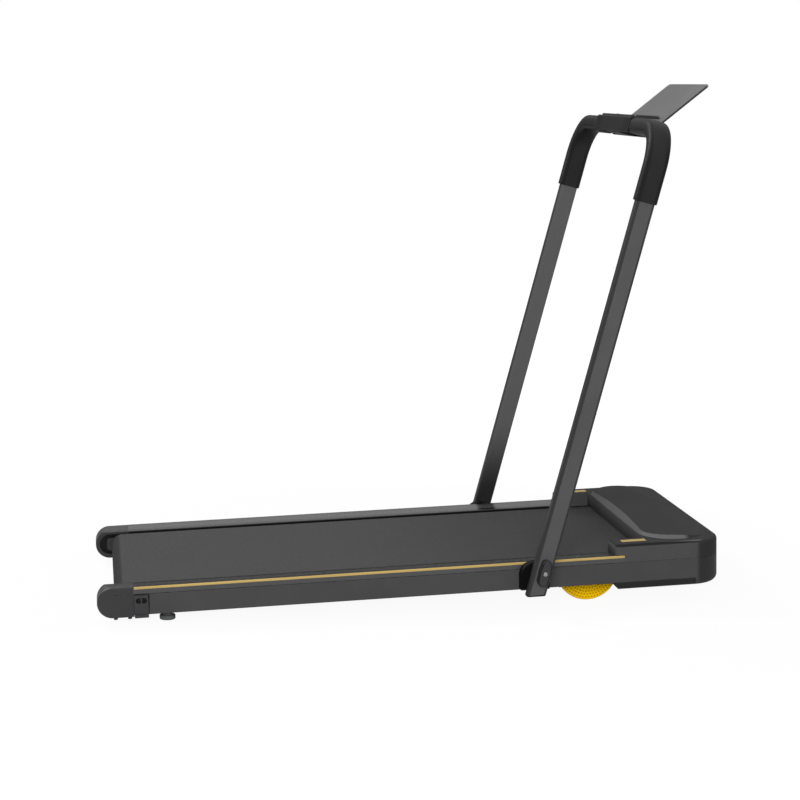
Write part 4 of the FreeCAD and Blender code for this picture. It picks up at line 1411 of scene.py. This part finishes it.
@dataclass
class Console(SubAssembly):
    """Console on the crossbar, its buttons and the tablet plate.

    Attributes:
        place: The handrail's frame.
    """

    place: HandleFrame

    def finishes(self) -> FinishPlan:
        """The nodes that take each finish."""
        return {
            Finishes.CONSOLE_PLASTIC: ("console_body", "console_clamp"),
            Finishes.LID_PLASTIC: ("console_lid",),
            Finishes.DISPLAY_GLASS: ("display_window",),
            Finishes.BUTTON_PLASTIC: ("button_slower", "button_start", "button_faster"),
            Finishes.TABLET_PLASTIC: ("tablet_plate",),
            Finishes.LEDGE_PLASTIC: ("tablet_ledge",),
        }

    def build(self) -> None:
        """Models a mark for each button and lets it ride on that button."""
        mark = ButtonMark(self.place)
        shapes = {"slower": mark.minus, "start": mark.start, "faster": mark.plus}
        for word, shape in shapes.items():
            piece = shape("button_" + word)
            piece.data.materials.append(self.palette.materials[Finishes.MARK_WHITE])
            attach(piece, word + "_button")
            log.info("built %s", piece.name)


@dataclass(frozen=True)
class Softbox:
    """Rectangular lamp.

    Attributes:
        name: The lamp's name.
        place: Where it stands, in metres.
        size: Its width and height in metres.
        power: Its power in watts.
        glare: Whether it shows in reflections.
    """

    name: str
    place: Place
    size: Tuple[float, float]
    power: float
    glare: bool = True

    def build(self, aim: Vector) -> None:
        """Adds the lamp.

        Args:
            aim: The point that it faces.
        """
        data = bpy.data.lights.new(self.name, "AREA")
        data.shape = "RECTANGLE"
        data.size, data.size_y = self.size
        data.energy = self.power
        lamp = bpy.data.objects.new(self.name, data)
        lamp.visible_glossy = self.glare
        bpy.context.scene.collection.objects.link(lamp)
        turn = (aim - Vector(self.place)).to_track_quat("-Z", "Y").to_matrix().to_4x4()
        lamp.matrix_world = Matrix.Translation(self.place) @ turn


@dataclass
class Studio:
    """White floor, soft lamps and the photograph's camera.

    Attributes:
        eye: Camera place in metres.
        yaw: Turn of the view from the left-right axis towards the front, in degrees.
        pitch: Downward look in degrees.
        roll: Turn about the line of sight in degrees.
        lens: Focal length in millimetres.
        sensor: Width of the sensor in millimetres.
        aim: The point that the lamps face.
        lamps: The lamps.
        ambient: Strength of the white surroundings as a light.
        wall_rise: Sine of the height angle where a reflection shows the foot and the top of the wall.
        wall_shade: Strength of the wall's foot in reflections.
        paper: Grey of the floor as a reflector of light.
        floor_size: Length of the floor's sides in metres.
        floor_glow: Strength of the floor's white to the eye.
        floor_share: Share of that white close to the object, where the rest keeps the shadow.
        floor_fade: Distance where that share starts to grow and where it is whole, in metres.
        floor_gloss: Share of that white in reflections.
    """

    eye: Place = (-0.643973, -4.06127, 1.066412)
    yaw: float = 9.06
    pitch: float = 9.241
    roll: float = 0.36
    lens: float = 87.3
    sensor: float = 36.0
    aim: Place = (0.0, 0.0, 0.35)
    lamps: Tuple[Softbox, ...] = (
        Softbox("front_softbox", place=(-1.1, -4.6, 1.75), size=(2.4, 1.8), power=212.0, glare=False),
        Softbox("top_softbox", place=(0.1, -0.2, 3.6), size=(2.6, 2.6), power=7.0),
        Softbox("rim_softbox", place=(-2.4, 2.6, 2.9), size=(1.3, 1.0), power=80.0),
        Softbox("fill_softbox", place=(3.6, 0.4, 2.2), size=(2.0, 1.6), power=36.0, glare=False),
    )
    ambient: float = 0.24
    wall_rise: Span = (0.25, 0.42)
    wall_shade: float = 0.04
    paper: float = 0.45
    floor_size: float = 14.0
    floor_glow: float = 1.1
    floor_share: float = 0.85
    floor_fade: Span = (0.9, 1.9)
    floor_gloss: float = 0.35

    def build(self) -> None:
        """Sets the camera, the floor, the world and the lamps."""
        bpy.context.scene.view_settings.view_transform = "Standard"
        self._camera()
        self._floor()
        self._world()
        for lamp in self.lamps:
            lamp.build(Vector(self.aim))

    def _camera(self) -> None:
        """Stands the camera where the photograph was taken."""
        data = bpy.data.cameras.new("photo_camera")
        data.lens = self.lens
        data.sensor_width = self.sensor
        camera = bpy.data.objects.new("photo_camera", data)
        bpy.context.scene.collection.objects.link(camera)
        turn = Matrix.Rotation(math.radians(-self.yaw), 4, "Z")
        tip = Matrix.Rotation(math.radians(90.0 - self.pitch), 4, "X")
        roll = Matrix.Rotation(math.radians(self.roll), 4, "Z")
        camera.matrix_world = Matrix.Translation(self.eye) @ turn @ tip @ roll
        bpy.context.scene.camera = camera

    def _floor(self) -> None:
        """Lays a white floor that keeps the object's shadow and fades to the background."""
        Workbench.clear()
        bpy.ops.mesh.primitive_plane_add(size=self.floor_size, location=(0.0, 0.0, 0.0))
        floor = bpy.context.object
        floor.name = "studio_floor"
        material = bpy.data.materials.new("studio_floor")
        sheet = ShaderSheet.blank(material)
        paper = sheet.add("ShaderNodeBsdfDiffuse", {"Color": shaded(WHITE[:3], self.paper)})
        glow = sheet.add("ShaderNodeEmission", {"Color": WHITE, "Strength": self.floor_glow})
        reach = sheet.add("ShaderNodeVectorMath", {"Vector": sheet.place()}, operation="LENGTH")
        share = sheet.band(reach.outputs["Value"], self.floor_fade, (self.floor_share, 1.0))
        path = sheet.add("ShaderNodeLightPath").outputs
        mirrored = sheet.math("MULTIPLY", path["Is Glossy Ray"], self.floor_gloss)
        seen = sheet.math("MAXIMUM", path["Is Camera Ray"], mirrored)
        shown = sheet.math("MULTIPLY", seen, share)
        blend = sheet.add("ShaderNodeMixShader", {0: shown, 1: paper.outputs[0], 2: glow.outputs[0]})
        sheet.add("ShaderNodeOutputMaterial", {"Surface": blend.outputs[0]})
        floor.data.materials.append(material)

    def _world(self) -> None:
        """Makes the background white to the eye and dimmer as a light."""
        world = bpy.data.worlds.new("studio")
        sheet = ShaderSheet.blank(world)
        path = sheet.add("ShaderNodeLightPath").outputs
        mirrored = sheet.math("MAXIMUM", path["Is Glossy Ray"], path["Is Transmission Ray"])
        rise = sheet.axes(sheet.add("ShaderNodeTexCoord").outputs["Generated"])[2]
        wall = sheet.band(rise, self.wall_rise, (self.wall_shade, 1.0))
        glow = sheet.add("ShaderNodeMix", {0: mirrored, 2: self.ambient, 3: wall}, data_type="FLOAT")
        strength = sheet.math("MAXIMUM", path["Is Camera Ray"], glow.outputs[0])
        back = sheet.add("ShaderNodeBackground", {"Color": WHITE, "Strength": strength})
        sheet.add("ShaderNodeOutputWorld", {"Surface": back.outputs[0]})
        bpy.context.scene.world = world


def main() -> None:
    """Dresses and completes each sub-assembly, then sets up the studio."""
    logging.basicConfig(level=logging.INFO, format="%(name)s: %(message)s")
    palette = Palette()
    place = HandleFrame()
    assemblies: Sequence[SubAssembly] = (
        DeckFrame(palette),
        RunningGear(palette),
        FrontHood(palette),
        Handrail(palette, place),
        Console(palette, place),
    )
    for assembly in assemblies:
        assembly.dress()
        assembly.build()
    Studio().build()


if __name__ == "__main__":
    main()
